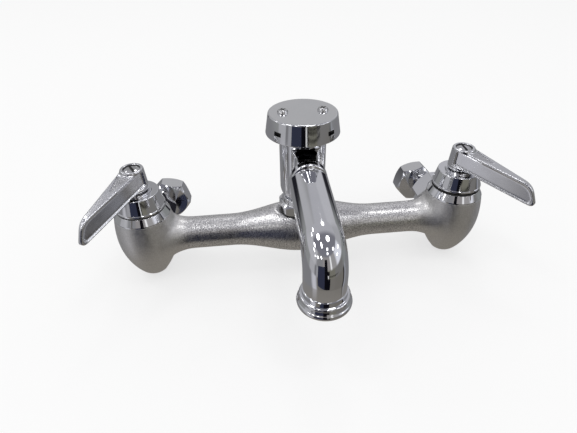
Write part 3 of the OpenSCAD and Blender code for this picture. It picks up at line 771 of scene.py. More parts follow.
@dataclass
class Yoke:
    """The cast yoke: bar, belly, two bulbs and their rear ports, in one skin."""

    bar_r: float = 10.5
    bar_steps: int = 90
    belly_r: float = 17.5
    belly_reach: float = 47.0
    flare_r: float = 16.0
    flare_length: float = 19.0
    bar_into_bulb: float = 11.5
    bulb_r: float = 18.7
    widest_z: float = 4.0
    shoulder_r: float = 17.2
    shoulder_z: float = 19.0
    tip_r: float = 12.0
    depth: float = 29.4
    port_r: float = 17.0
    port_end_r: float = 13.0
    port_length: float = 17.0
    spigot_r: float = 11.5
    spigot_end: float = 24.0
    seat_r: float = 16.4
    seat_z: float = 13.5
    skin: float = 0.62
    skin_passes: int = 3
    blend_passes: int = 90
    sharp_rim: float = 1.5
    crease_in: float = 9.0
    crease_out: float = 11.0
    port_root: float = 9.0
    port_rim: float = 2.0
    seat_band: float = 3.0
    seat_foot: float = 5.0
    centre: Vector = field(default_factory=lambda: Extent.of("spout_nut").centre)
    valve_x: float = field(default_factory=lambda: Extent.of("cold_bonnet").centre.x)

    def bar_radius(self, x: float) -> float:
        """Radius of the bar at a distance from its middle.

        Args:
            x: The distance.

        Returns:
            The radius.
        """
        end = self.valve_x - self.bar_into_bulb
        belly = (1 + math.cos(math.pi * min(abs(x) / self.belly_reach, 1.0))) / 2
        flare = max(0.0, (abs(x) - end + self.flare_length) / self.flare_length) ** 2
        return (self.bar_r + (self.belly_r - self.bar_r) * belly
                + (self.flare_r - self.bar_r) * flare)

    def bar(self) -> Shape:
        """The bar with its belly and its flared ends."""
        end = self.valve_x - self.bar_into_bulb
        stations = [end * (2 * i / self.bar_steps - 1) for i in range(self.bar_steps + 1)]
        outline = [Vector((0, -end)), *(Vector((self.bar_radius(x), x)) for x in stations),
                   Vector((0, end))]
        return Shape.turned(outline).moved(LYING_ALONG_X)

    def bulb(self) -> Shape:
        """One bulb, round below and drawn in to its shoulder."""
        tip_z = self.tip_r - self.depth
        rise = self.shoulder_z - self.widest_z
        inset = self.bulb_r - self.shoulder_r
        swell_r = (inset**2 + rise**2) / (2 * inset)
        swell = math.degrees(math.asin(rise / swell_r))
        fall = self.widest_z - tip_z
        low_r = (self.bulb_r**2 + fall**2 - self.tip_r**2) / (2 * (self.bulb_r - self.tip_r))
        low = math.degrees(math.atan2(fall, low_r - self.bulb_r))
        outline = [
            *arc(Vector((0, tip_z)), self.tip_r, -90, -low),
            *arc(Vector((self.bulb_r - low_r, self.widest_z)), low_r, -low, 0)[1:],
            *arc(Vector((self.bulb_r - swell_r, self.widest_z)), swell_r, 0, swell)[1:],
            Vector((0, self.shoulder_z)),
        ]
        return Shape.turned(outline)

    def port(self) -> Shape:
        """The rear port of one bulb, with the spigot that the union nut grips."""
        corners = [(0, 0, 0), (self.port_r, 0, 0), (self.port_end_r, self.port_length, 1),
                   (self.spigot_r, self.port_length, 0), (self.spigot_r, self.spigot_end, 0),
                   (0, self.spigot_end, 0)]
        return Shape.lathe(corners).moved(LYING_ALONG_Y)

    def casting(self) -> Shape:
        """The whole casting, with soft blends where its forms meet."""
        shape = self.bar()
        for side in Side:
            at = Matrix.Translation((side.sign * self.valve_x, 0, 0))
            shape.joined(self.bulb().moved(at), self.port().moved(at))
        shape = shape.remeshed(self.skin, self.skin_passes)
        for vert in shape.bm.verts:
            if vert.co.z > self.seat_z and vert.co.xy.length < self.seat_r:
                vert.co.z = self.seat_z
        self.blend(shape)
        return shape.moved(Matrix.Translation((self.centre.x, self.centre.y, 0)))

    def blend(self, shape: Shape) -> None:
        """Softens the creases beside the bulbs and round the nut's seat.

        Args:
            shape: The casting, with its axis on the X axis.
        """
        inner = self.valve_x - self.bulb_r
        crest = self.shoulder_z - self.sharp_rim
        creases = [v for v in shape.bm.verts if v.co.z < crest
                   and inner - self.crease_in < abs(v.co.x) < inner + self.crease_out]
        ports = [v for v in shape.bm.verts if v.co.z < crest and abs(v.co.x) > inner
                 and self.port_root < v.co.y < self.port_length - self.port_rim]
        seat = [v for v in shape.bm.verts if v.co.z > self.seat_foot
                and self.seat_r - self.seat_band < v.co.xy.length < self.seat_r + self.seat_band]
        shape.softened(creases, self.blend_passes)
        shape.softened(ports, self.blend_passes // 2)
        shape.softened(seat, self.blend_passes // 6)
        shape.softened(shape.bm.verts[:], self.skin_passes)

    def build(self) -> None:
        """Makes the casting."""
        MAKER.piece(self.casting(), "yoke_casting", CAST_CHROME, Body.YOKE, ["yoke_body"],
                    even=False)


@dataclass
class Nut:
    """A chamfered hexagonal nut, turned upright on the Z axis."""

    flats: float
    low: float
    high: float
    turn: float
    bore: float
    low_chamfer: float = 1.2
    high_chamfer: float = 3.0
    edge: float = 0.5
    face_inset: float = 0.3
    spare: float = 0.6

    def shape(self) -> Shape:
        """The nut, with its bore right through."""
        outer = corner_radius(self.flats) + self.spare
        bar = Shape.hex_bar(self.flats, self.low - 1, self.high + 1, self.turn, self.edge)
        face = self.flats / 2 - self.face_inset
        corners = [
            (self.bore, self.low, 0), (face, self.low, 0.3),
            (outer, self.low + self.low_chamfer, 0), (outer, self.high - self.high_chamfer, 0),
            (face, self.high, 0.4), (self.bore, self.high, 0.3),
        ]
        return bar.combined(Shape.lathe(corners, closed=True), "INTERSECT")


@dataclass
class Valve:
    """One valve: the machined crown of its bulb, the bonnet, the lever and its screw."""

    side: Side
    lever_turn: float
    slot_turn: float
    crown_foot_r: float = 17.3
    crown_foot_z: float = 18.8
    crown_r: float = 15.0
    crown_z: float = 23.0
    sleeve_r: float = 8.6
    lip_h: float = 1.1
    lip_w: float = 0.35
    lip_slope: float = 0.4
    bonnet_taper: float = 2.4
    lever_skin: float = 0.2
    lever_passes: int = 42
    lever_droop: float = 12.4
    index_from: float = 8.1
    index_to: float = 20.0
    index_w: float = 4.3
    index_depth: float = 0.65
    index_tip: float = 0.3
    index_spare: float = 0.2
    index_drop: float = 0.1
    inlay_root: float = 0.3
    inlay_t: float = 0.15
    slot_w: float = 1.6
    slot_depth: float = 1.3
    screw_r: float = 2.4
    screw_length: float = 7.0
    head_t: float = 2.6
    head_edge: float = 0.7
    dome_share: float = 0.6
    head_gap: float = 0.35
    shade_tuck: float = 0.1
    shade_foot: float = 0.2
    shade_drop: float = 0.5
    fill_t: float = 0.5
    fill_inset: float = 0.3
    fill_gap: float = 0.01
    foot_lift: float = 0.0

    def __post_init__(self) -> None:
        """Takes the valve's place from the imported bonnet."""
        self.bonnet_box = Extent.of(self.side.named("bonnet"))
        centre = self.bonnet_box.centre
        self.at = Matrix.Translation((centre.x, centre.y, 0))
        self.body = Body(self.side.named("valve"))

    def crown(self) -> None:
        """The polished chamfer that closes the bulb's rough top."""
        corners = [
            (self.sleeve_r, self.crown_foot_z - 1, 0),
            (self.crown_foot_r, self.crown_foot_z - 1, 0),
            (self.crown_foot_r, self.crown_foot_z, 0.15), (self.crown_r, self.crown_z, 0.25),
            (self.sleeve_r, self.crown_z, 0)]
        shape = Shape.lathe(corners, closed=True).moved(self.at)
        MAKER.piece(shape, self.side.named("bulb_crown"), POLISHED_CHROME, Body.YOKE)

    def bonnet(self) -> None:
        """The tapered cover over the cartridge, with a narrow lip at its foot."""
        low, high = self.bonnet_box.low, self.bonnet_box.high
        foot_r = (high.x - low.x) / 2
        foot_z = low.z + self.foot_lift
        lip_z = foot_z + self.lip_h
        corners = [
            (self.sleeve_r, foot_z, 0), (foot_r, foot_z, 0.25), (foot_r, lip_z, 0.3),
            (foot_r - self.lip_w, lip_z + self.lip_slope, 0.2),
            (foot_r - self.bonnet_taper, high.z, 0.45), (self.sleeve_r, high.z, 0.2)]
        shape = Shape.lathe(corners, closed=True).moved(self.at)
        MAKER.piece(shape, self.side.named("bonnet_chrome"), POLISHED_CHROME, Body.YOKE,
                    [self.side.named("bonnet")])

    def lever(self) -> None:
        """The lever: its packed form with soft edges and crisp seats for screw and index."""
        node = self.side.named("lever")
        head = Extent.of(self.side.named("lever_screw"))
        head_r = (head.high.x - head.low.x) / 2
        seat = Shape.rod(head_r + self.head_gap, head.high.z - self.head_t, head.high.z + 2)
        shape = Shape.packed(node).remeshed(self.lever_skin, self.lever_passes)
        shape = shape.combined(seat.moved(self.at), "DIFFERENCE")
        recess = self.index(head.high.z, self.index_spare, -self.index_depth, 2.0)
        shape = shape.combined(recess, "DIFFERENCE")
        MAKER.piece(shape, self.side.named("lever_chrome"), SATIN_CHROME, self.body, [node])
        inlay = self.index(head.high.z, 0.0, -self.index_depth - self.inlay_root,
                           self.inlay_t - self.index_depth)
        MAKER.piece(inlay, self.side.named("lever_index"), FROSTED_CHROME, self.body)

    def index(self, top: float, spare: float, low: float, high: float) -> Shape:
        """The index plate's form, which narrows along the lever's sloping top.

        Args:
            top: Height of the screw's head, whose foot the slope starts from.
            spare: How far the form stands out all round.
            low: Its foot, over the slope.
            high: Its top, over the slope.

        Returns:
            The form.
        """
        near, far = self.index_from - spare, self.index_to + spare
        half, tip = self.index_w + spare, self.index_tip + spare
        outline = [Vector(p) for p in ((near, -half), (far, -tip), (far, tip), (near, half))]
        place = (self.at @ Matrix.Translation((0, 0, top - self.index_drop))
                 @ Matrix.Rotation(math.radians(self.lever_turn), 4, "Z")
                 @ Matrix.Rotation(math.radians(self.lever_droop), 4, "Y"))
        return Shape.plate(outline, low, high).moved(place)

    def screw(self) -> None:
        """The slotted screw in the lever's hub, with a slightly domed head."""
        node = self.side.named("lever_screw")
        box = Extent.of(node)
        head_r = (box.high.x - box.low.x) / 2
        top = box.high.z
        foot = top - self.head_t
        end = foot - self.screw_length
        corners = [(0, end, 0), (self.screw_r, end, 0), (self.screw_r, foot, 0),
                   (head_r, foot, 0.2), (head_r, top - self.head_edge, 0.35),
                   (self.dome_share * head_r, top, 3.0), (0, top, 0)]
        slot = Shape.block(Vector((3 * head_r, self.slot_w, 2 * self.slot_depth)),
                           Vector((0, 0, top)))
        slot.spun(self.slot_turn)
        shape = Shape.lathe(corners).combined(slot, "DIFFERENCE").moved(self.at)
        MAKER.piece(shape, self.side.named("lever_screw_steel"), SCREW_STEEL, self.body, [node])
        # Black pieces paint the shade in the gap round the head and on the slot's floor.
        MAKER.piece(self.painted_screw_shade(head_r, top), self.side.named("lever_screw_painted_shade"), RUBBER_AND_PAINTED_SHADE,
                    self.body)

    def painted_screw_shade(self, head_r: float, top: float) -> Shape:
        """Black pieces that paint the shade round the screw's head and in its slot.

        Args:
            head_r: Radius of the head.
            top: Height of its top.

        Returns:
            The pieces of painted shade.
        """
        # Painted shade: a black ring in the gap round the head, and a black strip on the slot's
        # floor.
        ring = Shape.ring(head_r - self.shade_tuck, head_r + self.head_gap,
                          top - self.head_t + self.shade_foot, top - self.shade_drop)
        size = Vector((2 * (head_r - self.fill_inset), self.slot_w - 2 * self.fill_gap,
                       self.fill_t))
        fill = Shape.block(size, Vector((0, 0, top - self.slot_depth + self.fill_t / 2)))
        return ring.joined(fill.spun(self.slot_turn)).moved(self.at)

    def build(self) -> None:
        """Makes the valve's pieces."""
        self.crown()
        self.bonnet()
        self.lever()
        self.screw()


@dataclass
class InletArm:
    """One eccentric inlet arm with its union nut, lying along Y behind a bulb."""

    side: Side
    nut_flats: float = 28.0
    nut_turn: float = 50.0
    neck_r: float = 9.5
    neck_gap: float = 0.1
    neck_tuck: float = 6.0
    shoulder_l: float = 2.5
    throw: float = 9.525
    hex_flats: float = 25.4
    hex_turn: float = 13.0
    hex_bore: float = 0.02
    hex_low_chamfer: float = 3.4
    hex_high_chamfer: float = 2.4
    socket_r: float = 9.3
    socket_depth: float = 11.0
    socket_foot: float = 0.5
    socket_cone: float = 1.0
    mouth_w: float = 1.4
    mouth_h: float = 1.0
    spare: float = 0.4
    bore_r: float = 6.5

    def __post_init__(self) -> None:
        """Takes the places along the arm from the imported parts."""
        self.axis = Extent.of(self.side.named("bonnet")).centre
        self.nut_box = Extent.of(self.side.named("union_nut"))
        self.arm_box = Extent.of(self.side.named("inlet_arm"))
        self.at = Matrix.Translation((self.axis.x, self.axis.y, 0)) @ LYING_ALONG_Y

    def back(self, y: float) -> float:
        """Distance behind the valve's axis of a place in the frame."""
        return y - self.axis.y

    def union_nut(self) -> None:
        """The nut that clamps the arm to the bulb's spigot."""
        nut = Nut(self.nut_flats, self.back(self.nut_box.low.y), self.back(self.nut_box.high.y),
                  -self.side.sign * self.nut_turn, self.neck_r + self.neck_gap)
        MAKER.piece(nut.shape().moved(self.at), self.side.named("union_nut_chrome"),
                    POLISHED_CHROME, Body.YOKE, [self.side.named("union_nut")])

    def arm(self) -> None:
        """The arm: neck, slanting shoulder and chamfered hexagon with its socket."""
        start = self.back(self.nut_box.high.y) - self.neck_tuck
        end = self.back(self.arm_box.high.y)
        hex_start = end - self.socket_depth
        aside = -self.side.sign * self.throw
        neck = Shape.rod(self.neck_r, start, hex_start - self.shoulder_l)
        shoulder = self.shoulder(hex_start, aside)
        hexagon = Nut(self.hex_flats, hex_start - 1, end, -self.side.sign * self.hex_turn,
                      self.hex_bore, self.hex_low_chamfer, self.hex_high_chamfer).shape()
        hexagon.moved(Matrix.Translation((aside, 0, 0)))
        foot, mouth = hex_start + self.socket_foot, end + self.spare
        socket = Shape.lathe([(0, foot, 0), (self.bore_r, foot, 0),
                              (self.socket_r, foot + self.socket_cone, 0),
                              (self.socket_r, end - self.mouth_h, 0),
                              (self.socket_r + self.mouth_w, mouth, 0), (0, mouth, 0)])
        socket.moved(Matrix.Translation((aside, 0, 0)))
        shape = neck.combined(shoulder, "UNION").combined(hexagon, "UNION")
        shape = shape.combined(socket, "DIFFERENCE").moved(self.at)
        MAKER.piece(shape, self.side.named("inlet_arm_chrome"), POLISHED_CHROME, Body.YOKE,
                    [self.side.named("inlet_arm")])

    def shoulder(self, hex_start: float, aside: float) -> Shape:
        """The slanting stretch between the neck and the hexagon.

        Args:
            hex_start: Where the hexagon starts.
            aside: How far the hexagon's axis stands aside.

        Returns:
            The stretch.
        """
        shape = Shape()
        loops = []
        slant = hex_start - self.shoulder_l
        for x, z in ((0.0, slant - 1), (0.0, slant), (aside / 2, hex_start),
                     (aside / 2, hex_start + 2)):
            made = bmesh.ops.create_circle(shape.bm, cap_ends=False, segments=96,
                                           radius=self.neck_r,
                                           matrix=Matrix.Translation((x, 0, z)))
            loops.append([e for v in made["verts"] for e in v.link_edges])
        for near, far in zip(loops, loops[1:]):
            bmesh.ops.bridge_loops(shape.bm, edges=list(set(near + far)))
        bmesh.ops.holes_fill(shape.bm, edges=shape.bm.edges[:])
        return shape.tidied()

    def build(self) -> None:
        """Makes the arm and its nut."""
        self.union_nut()
        self.arm()


@dataclass
class Spout:
    """The swinging spout: riser, saddle, tube, elbow, pail hook and the nut at its foot."""

    riser_r: float = 13.9
    foot_z: float = 26.5
    foot_inset: float = 1.8
    foot_swell_inset: float = 0.5
    foot_swell_h: float = 2.2
    foot_h: float = 4.6
    spigot_r: float = 10.0
    spigot_z: float = 12.0
    flange_r: float = 17.3
    flange_t: float = 3.0
    flange_flare: float = 2.0
    tube_r: float = 10.95
    tube_edge: float = 1.0
    tube_z: float = 51.0
    slope: float = 5.5
    reach: float = 83.0
    elbow_r: float = 13.0
    hook_y: float = 23.5
    hook_t: float = 5.0
    hook_rise: float = 2.3
    hook_inset: float = 0.6
    neck_r: float = 8.0
    neck_drop: float = 2.4
    neck_tip: float = 0.6
    saddle_root: float = 9.5
    saddle_y: float = 20.0
    saddle_z: float = 59.0
    saddle_r: float = 7.0
    saddle_sweep: tuple[float, float] = (-29.0, -122.0)
    saddle_foot: float = 4.0
    waist: float = 5.6
    flank_r: float = 8.7
    flank_sweep: tuple[float, float] = (134.0, 212.0)
    saddle_skin: float = 0.3
    saddle_passes: int = 6
    chamber_r: float = 8.5
    pin_hole_r: float = 2.4
    pin_hole_depth: float = 12.0
    float_pin: float = 10.0
    nut_flats: float = 27.2
    nut_lift: float = 0.6
    nut_gap: float = 0.2
    nut_spare: float = 0.6
    nut_foot: float = 1.4
    nut_straight: float = 4.0
    nut_shoulder: float = 6.6
    nut_shoulder_inset: float = 0.4
    nut_mouth: float = 1.6
    nut_edge: float = 0.5
    ring_out: float = 0.6
    ring_w: float = 3.0
    ring_t: float = 1.2
    nut_turn: float = 39.0
    steps: int = 96

    def __post_init__(self) -> None:
        """Takes the spout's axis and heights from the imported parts."""
        self.nut_box = Extent.of("spout_nut")
        self.collar_box = Extent.of("outlet_collar")
        self.gasket_z = Extent.of("breaker_gasket").low.z
        self.chamber_z = Extent.of("breaker_float").low.z + self.float_pin
        centre = self.nut_box.centre
        self.at = Matrix.Translation((centre.x, centre.y, 0))

    def nut(self) -> None:
        """The nut that holds the spout's foot on the yoke, and painted shade under it."""
        low, high = self.nut_box.low.z + self.nut_lift, self.nut_box.high.z
        bar = Shape.hex_bar(self.nut_flats, low - 1, high + 1, self.nut_turn, self.nut_edge)
        bore = self.spigot_r + self.nut_gap
        half = self.nut_flats / 2
        outer = corner_radius(self.nut_flats) + self.nut_spare
        corners = [
            (bore, low, 0), (half + self.nut_foot, low, 0.3), (outer, low + self.nut_foot, 0),
            (outer, low + self.nut_straight, 0),
            (half - self.nut_shoulder_inset, low + self.nut_shoulder, 1.0),
            (self.riser_r - self.nut_mouth, high, 0.6), (bore, high, 0)]
        shape = bar.combined(Shape.lathe(corners, closed=True), "INTERSECT").moved(self.at)
        MAKER.piece(shape, "spout_nut_chrome", POLISHED_CHROME, Body.YOKE, ["spout_nut"])
        # A black ring under the nut paints the shade of the gap between the nut and the yoke.
        ring_r = half + self.ring_out
        ring = Shape.ring(ring_r - self.ring_w, ring_r, low - self.ring_t, low)
        MAKER.piece(ring.moved(self.at), "spout_nut_painted_shade", RUBBER_AND_PAINTED_SHADE, Body.YOKE)

    def riser(self) -> Shape:
        """The upright riser, from its spigot to the float's chamber in the flange under the cap."""
        top = self.gasket_z
        hole_z = self.chamber_z - self.pin_hole_depth
        corners = [
            (0, self.spigot_z, 0), (self.spigot_r, self.spigot_z, 0),
            (self.spigot_r, self.foot_z, 0),
            (self.riser_r - self.foot_inset, self.foot_z, 0.4),
            (self.riser_r - self.foot_swell_inset, self.foot_z + self.foot_swell_h, 1.2),
            (self.riser_r, self.foot_z + self.foot_h, 2.0),
            (self.riser_r, top - self.flange_t - self.flange_flare, 1.0),
            (self.flange_r, top - self.flange_t, 0.5), (self.flange_r, top, 0.2),
            (self.chamber_r, top, 0), (self.chamber_r, self.chamber_z, 0),
            (self.pin_hole_r, self.chamber_z, 0), (self.pin_hole_r, hole_z, 0), (0, hole_z, 0)]
        return Shape.lathe(corners)

    def down_slope(self) -> Matrix:
        """The place of the tube's axis, with Z running down the slope from the riser's axis."""
        turn = Matrix.Rotation(math.radians(90 + self.slope), 4, "X")
        return Matrix.Translation((0, 0, self.tube_z)) @ turn

    def tube(self) -> Shape:
        """The tube, its elbow and its drop, as one swept skin."""
        shape = Shape()
        bm = shape.bm
        slope = math.radians(self.slope)
        elbow_y = self.elbow_r - self.reach
        top_y = elbow_y - self.elbow_r * math.sin(slope)
        elbow_z = self.tube_z + top_y * math.tan(slope) - self.elbow_r * math.cos(slope)
        run = -top_y / math.cos(slope) - self.hook_y
        edge_r = self.tube_edge
        ring = bmesh.ops.create_circle(bm, cap_ends=False, segments=self.steps,
                                       radius=self.tube_r - edge_r)
        edges = list({e for v in ring["verts"] for e in v.link_edges})
        fillet = arc(Vector((self.tube_r - edge_r, edge_r)), edge_r, -90, 0, 5)
        for before, point in zip(fillet, fillet[1:]):
            edges = self.drawn_out(bm, edges, point.x / before.x, point.y - before.y)
        edges = self.drawn_out(bm, edges, 1.0, run - edge_r)
        start = self.down_slope() @ Matrix.Translation((0, 0, self.hook_y))
        bmesh.ops.transform(bm, matrix=start, verts=bm.verts[:])
        verts = list({v for e in edges for v in e.verts})
        made = bmesh.ops.spin(bm, geom=verts + edges, cent=(0, elbow_y, elbow_z), axis=(1, 0, 0),
                              angle=math.pi / 2 - slope, steps=30)
        edges = [e for e in made["geom_last"] if isinstance(e, bmesh.types.BMEdge)]
        made = bmesh.ops.extrude_edge_only(bm, edges=edges)["geom"]
        ends = [v for v in made if isinstance(v, bmesh.types.BMVert)]
        bmesh.ops.translate(bm, verts=ends, vec=(0, 0, self.collar_box.high.z - 0.5 - elbow_z))
        bmesh.ops.holes_fill(bm, edges=bm.edges[:])
        return shape.tidied()

    @staticmethod
    def drawn_out(bm: bmesh.types.BMesh, edges: list[bmesh.types.BMEdge], grow: float,
                  rise: float) -> list[bmesh.types.BMEdge]:
        """Draws a ring of edges out along Z.

        Args:
            bm: The mesh.
            edges: The ring.
            grow: Factor by which the new ring is wider.
            rise: How far the new ring stands above the old one.

        Returns:
            The new ring's edges.
        """
        made = bmesh.ops.extrude_edge_only(bm, edges=edges)["geom"]
        verts = [v for v in made if isinstance(v, bmesh.types.BMVert)]
        bmesh.ops.scale(bm, vec=(grow, grow, 1.0), verts=verts)
        bmesh.ops.translate(bm, verts=verts, vec=(0, 0, rise))
        fresh = set(verts)
        return [e for e in made if isinstance(e, bmesh.types.BMEdge) and set(e.verts) <= fresh]

    def hook(self) -> Shape:
        """The pail hook: a round lip that stands up from the top of the tube."""
        radius = self.tube_r - self.hook_inset
        corners = [(0, 0, 0), (radius, 0, 0.9), (radius, self.hook_t, 1.3), (0, self.hook_t, 0)]
        place = self.down_slope() @ Matrix.Translation((0, self.hook_rise, self.hook_y))
        return Shape.lathe(corners).moved(place)

    def saddle(self) -> Shape:
        """The waisted saddle and the neck between the riser and the tube."""
        low = self.tube_z - self.saddle_foot
        sweep = arc(Vector((-self.saddle_y, self.saddle_z + self.saddle_r)), self.saddle_r,
                    *self.saddle_sweep)
        root, back = -self.saddle_root, -self.hook_y - 1
        outline = [Vector((root, low)), Vector((root, sweep[0].y)), *sweep, Vector((back, low))]
        upright = Shape.plate(outline, -self.riser_r, self.riser_r)
        upright.moved(Matrix(((0, 0, 1, 0), (1, 0, 0, 0), (0, 1, 0, 0), (0, 0, 0, 1))))
        flank = arc(Vector((self.waist + self.flank_r, -self.saddle_y)), self.flank_r,
                    *self.flank_sweep)
        right = [Vector((flank[0].x, 0)), *flank, Vector((flank[-1].x, back))]
        left = [Vector((-p.x, p.y)) for p in reversed(right)]
        waist = Shape.plate([*right, *left], low - 1, self.saddle_z + 20)
        shape = upright.combined(waist, "INTERSECT")
        neck = Shape.rod(self.neck_r, self.saddle_root, self.hook_y + self.neck_tip)
        neck.moved(self.down_slope() @ Matrix.Translation((0, -self.neck_drop, 0)))
        return shape.joined(neck).remeshed(self.saddle_skin, self.saddle_passes)

    def build(self) -> None:
        """Makes the nut and the spout."""
        self.nut()
        shape = self.riser().joined(self.tube(), self.hook()).moved(self.at)
        MAKER.piece(shape, "spout_chrome", POLISHED_CHROME, Body.SPOUT, ["spout_body"])
        # The saddle wears chrome with painted shade in its hollow.
        MAKER.piece(self.saddle().moved(self.at), "spout_saddle", HOLLOW_CHROME, Body.SPOUT,
                    even=False)


@dataclass
class Outlet:
    """The beaded collar at the spout's end."""

    bead_r: float = 14.0
    bead_edge: float = 2.0
    roll_r: float = 1.3
    roll_inset: float = 2.4
    roll_z: float = 6.0
    lip_r: float = 9.0
    lip_edge: float = 0.3
    thread_r: float = 10.0
    tube_r: float = 10.95

    def build(self) -> None:
        """Makes the collar."""
        box = Extent.of("outlet_collar")
        low, high = box.low.z, box.high.z
        seat = Extent.of("flow_straightener").low.z
        outline = [
            Vector((self.lip_r + self.lip_edge, low)),
            *arc(Vector((self.bead_r - self.bead_edge, low + self.bead_edge)), self.bead_edge,
                 -90, 60),
            *arc(Vector((self.bead_r - self.roll_inset, low + self.roll_z)), self.roll_r,
                 -50, 90),
            Vector((self.tube_r + 0.4, high - 0.1)), Vector((self.tube_r - 0.2, high)),
            Vector((self.thread_r, high)), Vector((self.thread_r, seat)),
            Vector((self.lip_r, seat)), Vector((self.lip_r, low + self.lip_edge))]
        at = Matrix.Translation((box.centre.x, box.centre.y, 0))
        shape = Shape.turned(outline, closed=True).moved(at)
        MAKER.piece(shape, "outlet_collar_chrome", POLISHED_CHROME, Body.SPOUT, ["outlet_collar"])


@dataclass
class VacuumBreaker:
    """The vented cap on top of the riser, and its two screws."""

    wall: float = 1.6
    taper: float = 1.8
    edge_r: float = 0.9
    vent_w: float = 5.0
    vent_h: float = 2.4
    vent_z: float = 3.9
    vent_cut: float = 6.0
    vent_turn: float = 41.0
    vent_shade_t: float = 0.6
    vent_shade_low: float = 2.5
    vent_shade_high: float = 8.0
    screw_spacing: float = 23.0
    head_r: float = 3.15
    shank_r: float = 1.5
    cross_l: float = 3.6
    cross_w: float = 0.8
    cross_turn: float = 20.0

    def __post_init__(self) -> None:
        """Takes the cap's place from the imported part."""
        self.box = Extent.of("breaker_cap")
        self.at = Matrix.Translation((self.box.centre.x, self.box.centre.y, 0))

    def cap(self) -> None:
        """The cap, with a vent in each quarter of its side and painted shade behind them."""
        low, high = self.box.low.z, self.box.high.z
        foot_r = (self.box.high.x - self.box.low.x) / 2
        top_r = foot_r - self.taper
        corners = [
            (foot_r - self.wall, low, 0.2), (foot_r, low, 0.4), (top_r, high, self.edge_r),
            (0, high, 0), (0, high - self.wall, 0), (top_r - self.wall, high - self.wall, 0.5)]
        shape = Shape.turned(rounded(corners, closed=True), closed=True)
        for quarter in range(4):
            vent = Shape.block(Vector((self.vent_cut, self.vent_w, self.vent_h)),
                               Vector((top_r, 0, low + self.vent_z + self.vent_h / 2)))
            shape = shape.combined(vent.spun(self.vent_turn + 90 * quarter), "DIFFERENCE")
        MAKER.piece(shape.moved(self.at), "breaker_cap_chrome", POLISHED_CHROME, Body.SPOUT,
                    ["breaker_cap"])
        # A black ring inside the cap paints the shade seen through the vents.
        vent_shade_r = top_r - self.wall
        vent_shade = Shape.ring(vent_shade_r - self.vent_shade_t, vent_shade_r, low + self.vent_shade_low,
                           low + self.vent_shade_high)
        MAKER.piece(vent_shade.moved(self.at), "breaker_vent_shade", RUBBER_AND_PAINTED_SHADE, Body.SPOUT)

    def screws(self) -> None:
        """The two round screw heads, each with a cross."""
        foot = self.box.high.z
        top = Extent.of("cap_screws").high.z
        pair = Shape()
        for aside in (-1, 1):
            shape = Shape.lathe([(0, foot - 3, 0), (self.shank_r, foot - 3, 0),
                                 (self.shank_r, foot - 0.1, 0),
                                 (self.head_r, foot - 0.1, 0), (self.head_r, foot + 0.5, 0.3),
                                 (self.head_r - 0.7, top, 0.9), (0, top, 0)], steps=64)
            for arm in (0, 90):
                slot = Shape.block(Vector((self.cross_l, self.cross_w, 2)), Vector((0, 0, top)))
                shape = shape.combined(slot.spun(self.cross_turn + arm), "DIFFERENCE")
            pair.joined(shape.moved(Matrix.Translation((aside * self.screw_spacing / 2, 0, 0))))
        MAKER.piece(pair.moved(self.at), "cap_screws_steel", SCREW_STEEL, Body.SPOUT,
                    ["cap_screws"])

    def build(self) -> None:
        """Makes the cap and its screws."""
        self.cap()
        self.screws()


@dataclass(frozen=True)
class Band:
    """An upright band of the studio, as the chrome reflects it.

    Directions are in degrees to the left of straight ahead of the faucet.
    """

    start: float
    end: float
    colour: Colour


@dataclass(frozen=True)
class Level:
    """A level of the studio, up to a height in degrees above the horizon."""

    top: float
    bands: tuple[Band, ...]


def placed(bm: bmesh.types.BMesh, name: str,
           material: bpy.types.Material) -> bpy.types.Object:
    """Puts a mesh of the studio in the scene.

    Args:
        bm: The mesh, in metres, which is used up.
        name: Its name.
        material: Its material.

    Returns:
        The object.
    """
    mesh = bpy.data.meshes.new(name)
    bm.to_mesh(mesh)
    bm.free()
    mesh.materials.append(material)
    obj = bpy.data.objects.new(name, mesh)
    bpy.context.scene.collection.objects.link(obj)
    return obj


@dataclass(frozen=True)
class Card:
    """A dark or bright card in front of the faucet, which only its reflections show."""

    name: str
    left: float
    right: float
    colour: Colour
    low: float
    high: float
    ahead: float = -0.88
    tilt: float = 0.0

    def build(self) -> None:
        """Stands the card up in the studio."""
        bm = bmesh.new()
        width, height = self.right - self.left, self.high - self.low
        centre = Vector((self.left + self.right, 2 * self.ahead, self.low + self.high)) / 2
        place = (Matrix.Translation(centre)
                 @ Matrix.Rotation(math.radians(self.tilt), 4, "Y")
                 @ Matrix.Rotation(math.pi / 2, 4, "X")
                 @ Matrix.Diagonal((width / 2, height / 2, 1, 1)))
        bmesh.ops.create_grid(bm, x_segments=1, y_segments=1, size=1.0, matrix=place)
        card = placed(bm, self.name, self.material())
        card.visible_camera = False
        card.visible_diffuse = False
        card.visible_shadow = False

    def material(self) -> bpy.types.Material:
        """The card's even colour."""
        material = bpy.data.materials.new(self.name)
        graph = Graph.emptied(material)
        glow = graph.node("Emission")
        glow.inputs["Color"].default_value = (*self.colour, 1.0)
        graph.link(glow.outputs["Emission"], graph.node("OutputMaterial").inputs["Surface"])
        return material


@dataclass(frozen=True)
class Lamp:
    """An oval lamp under the ceiling, in metres, which the chrome shows as a bright spot."""

    x: float
    y: float
    width: float
    length: float

    def build(self, name: str, height: float, output: float) -> None:
        """Hangs the lamp.

        Args:
            name: Its name.
            height: How high it hangs.
            output: Its power for each square metre.
        """
        light = bpy.data.lights.new(name, "AREA")
        light.shape = "ELLIPSE"
        light.size, light.size_y = self.width, self.length
        light.energy = output * self.width * self.length
        lamp = bpy.data.objects.new(name, light)
        lamp.location = (self.x, self.y, height)
        bpy.context.scene.collection.objects.link(lamp)


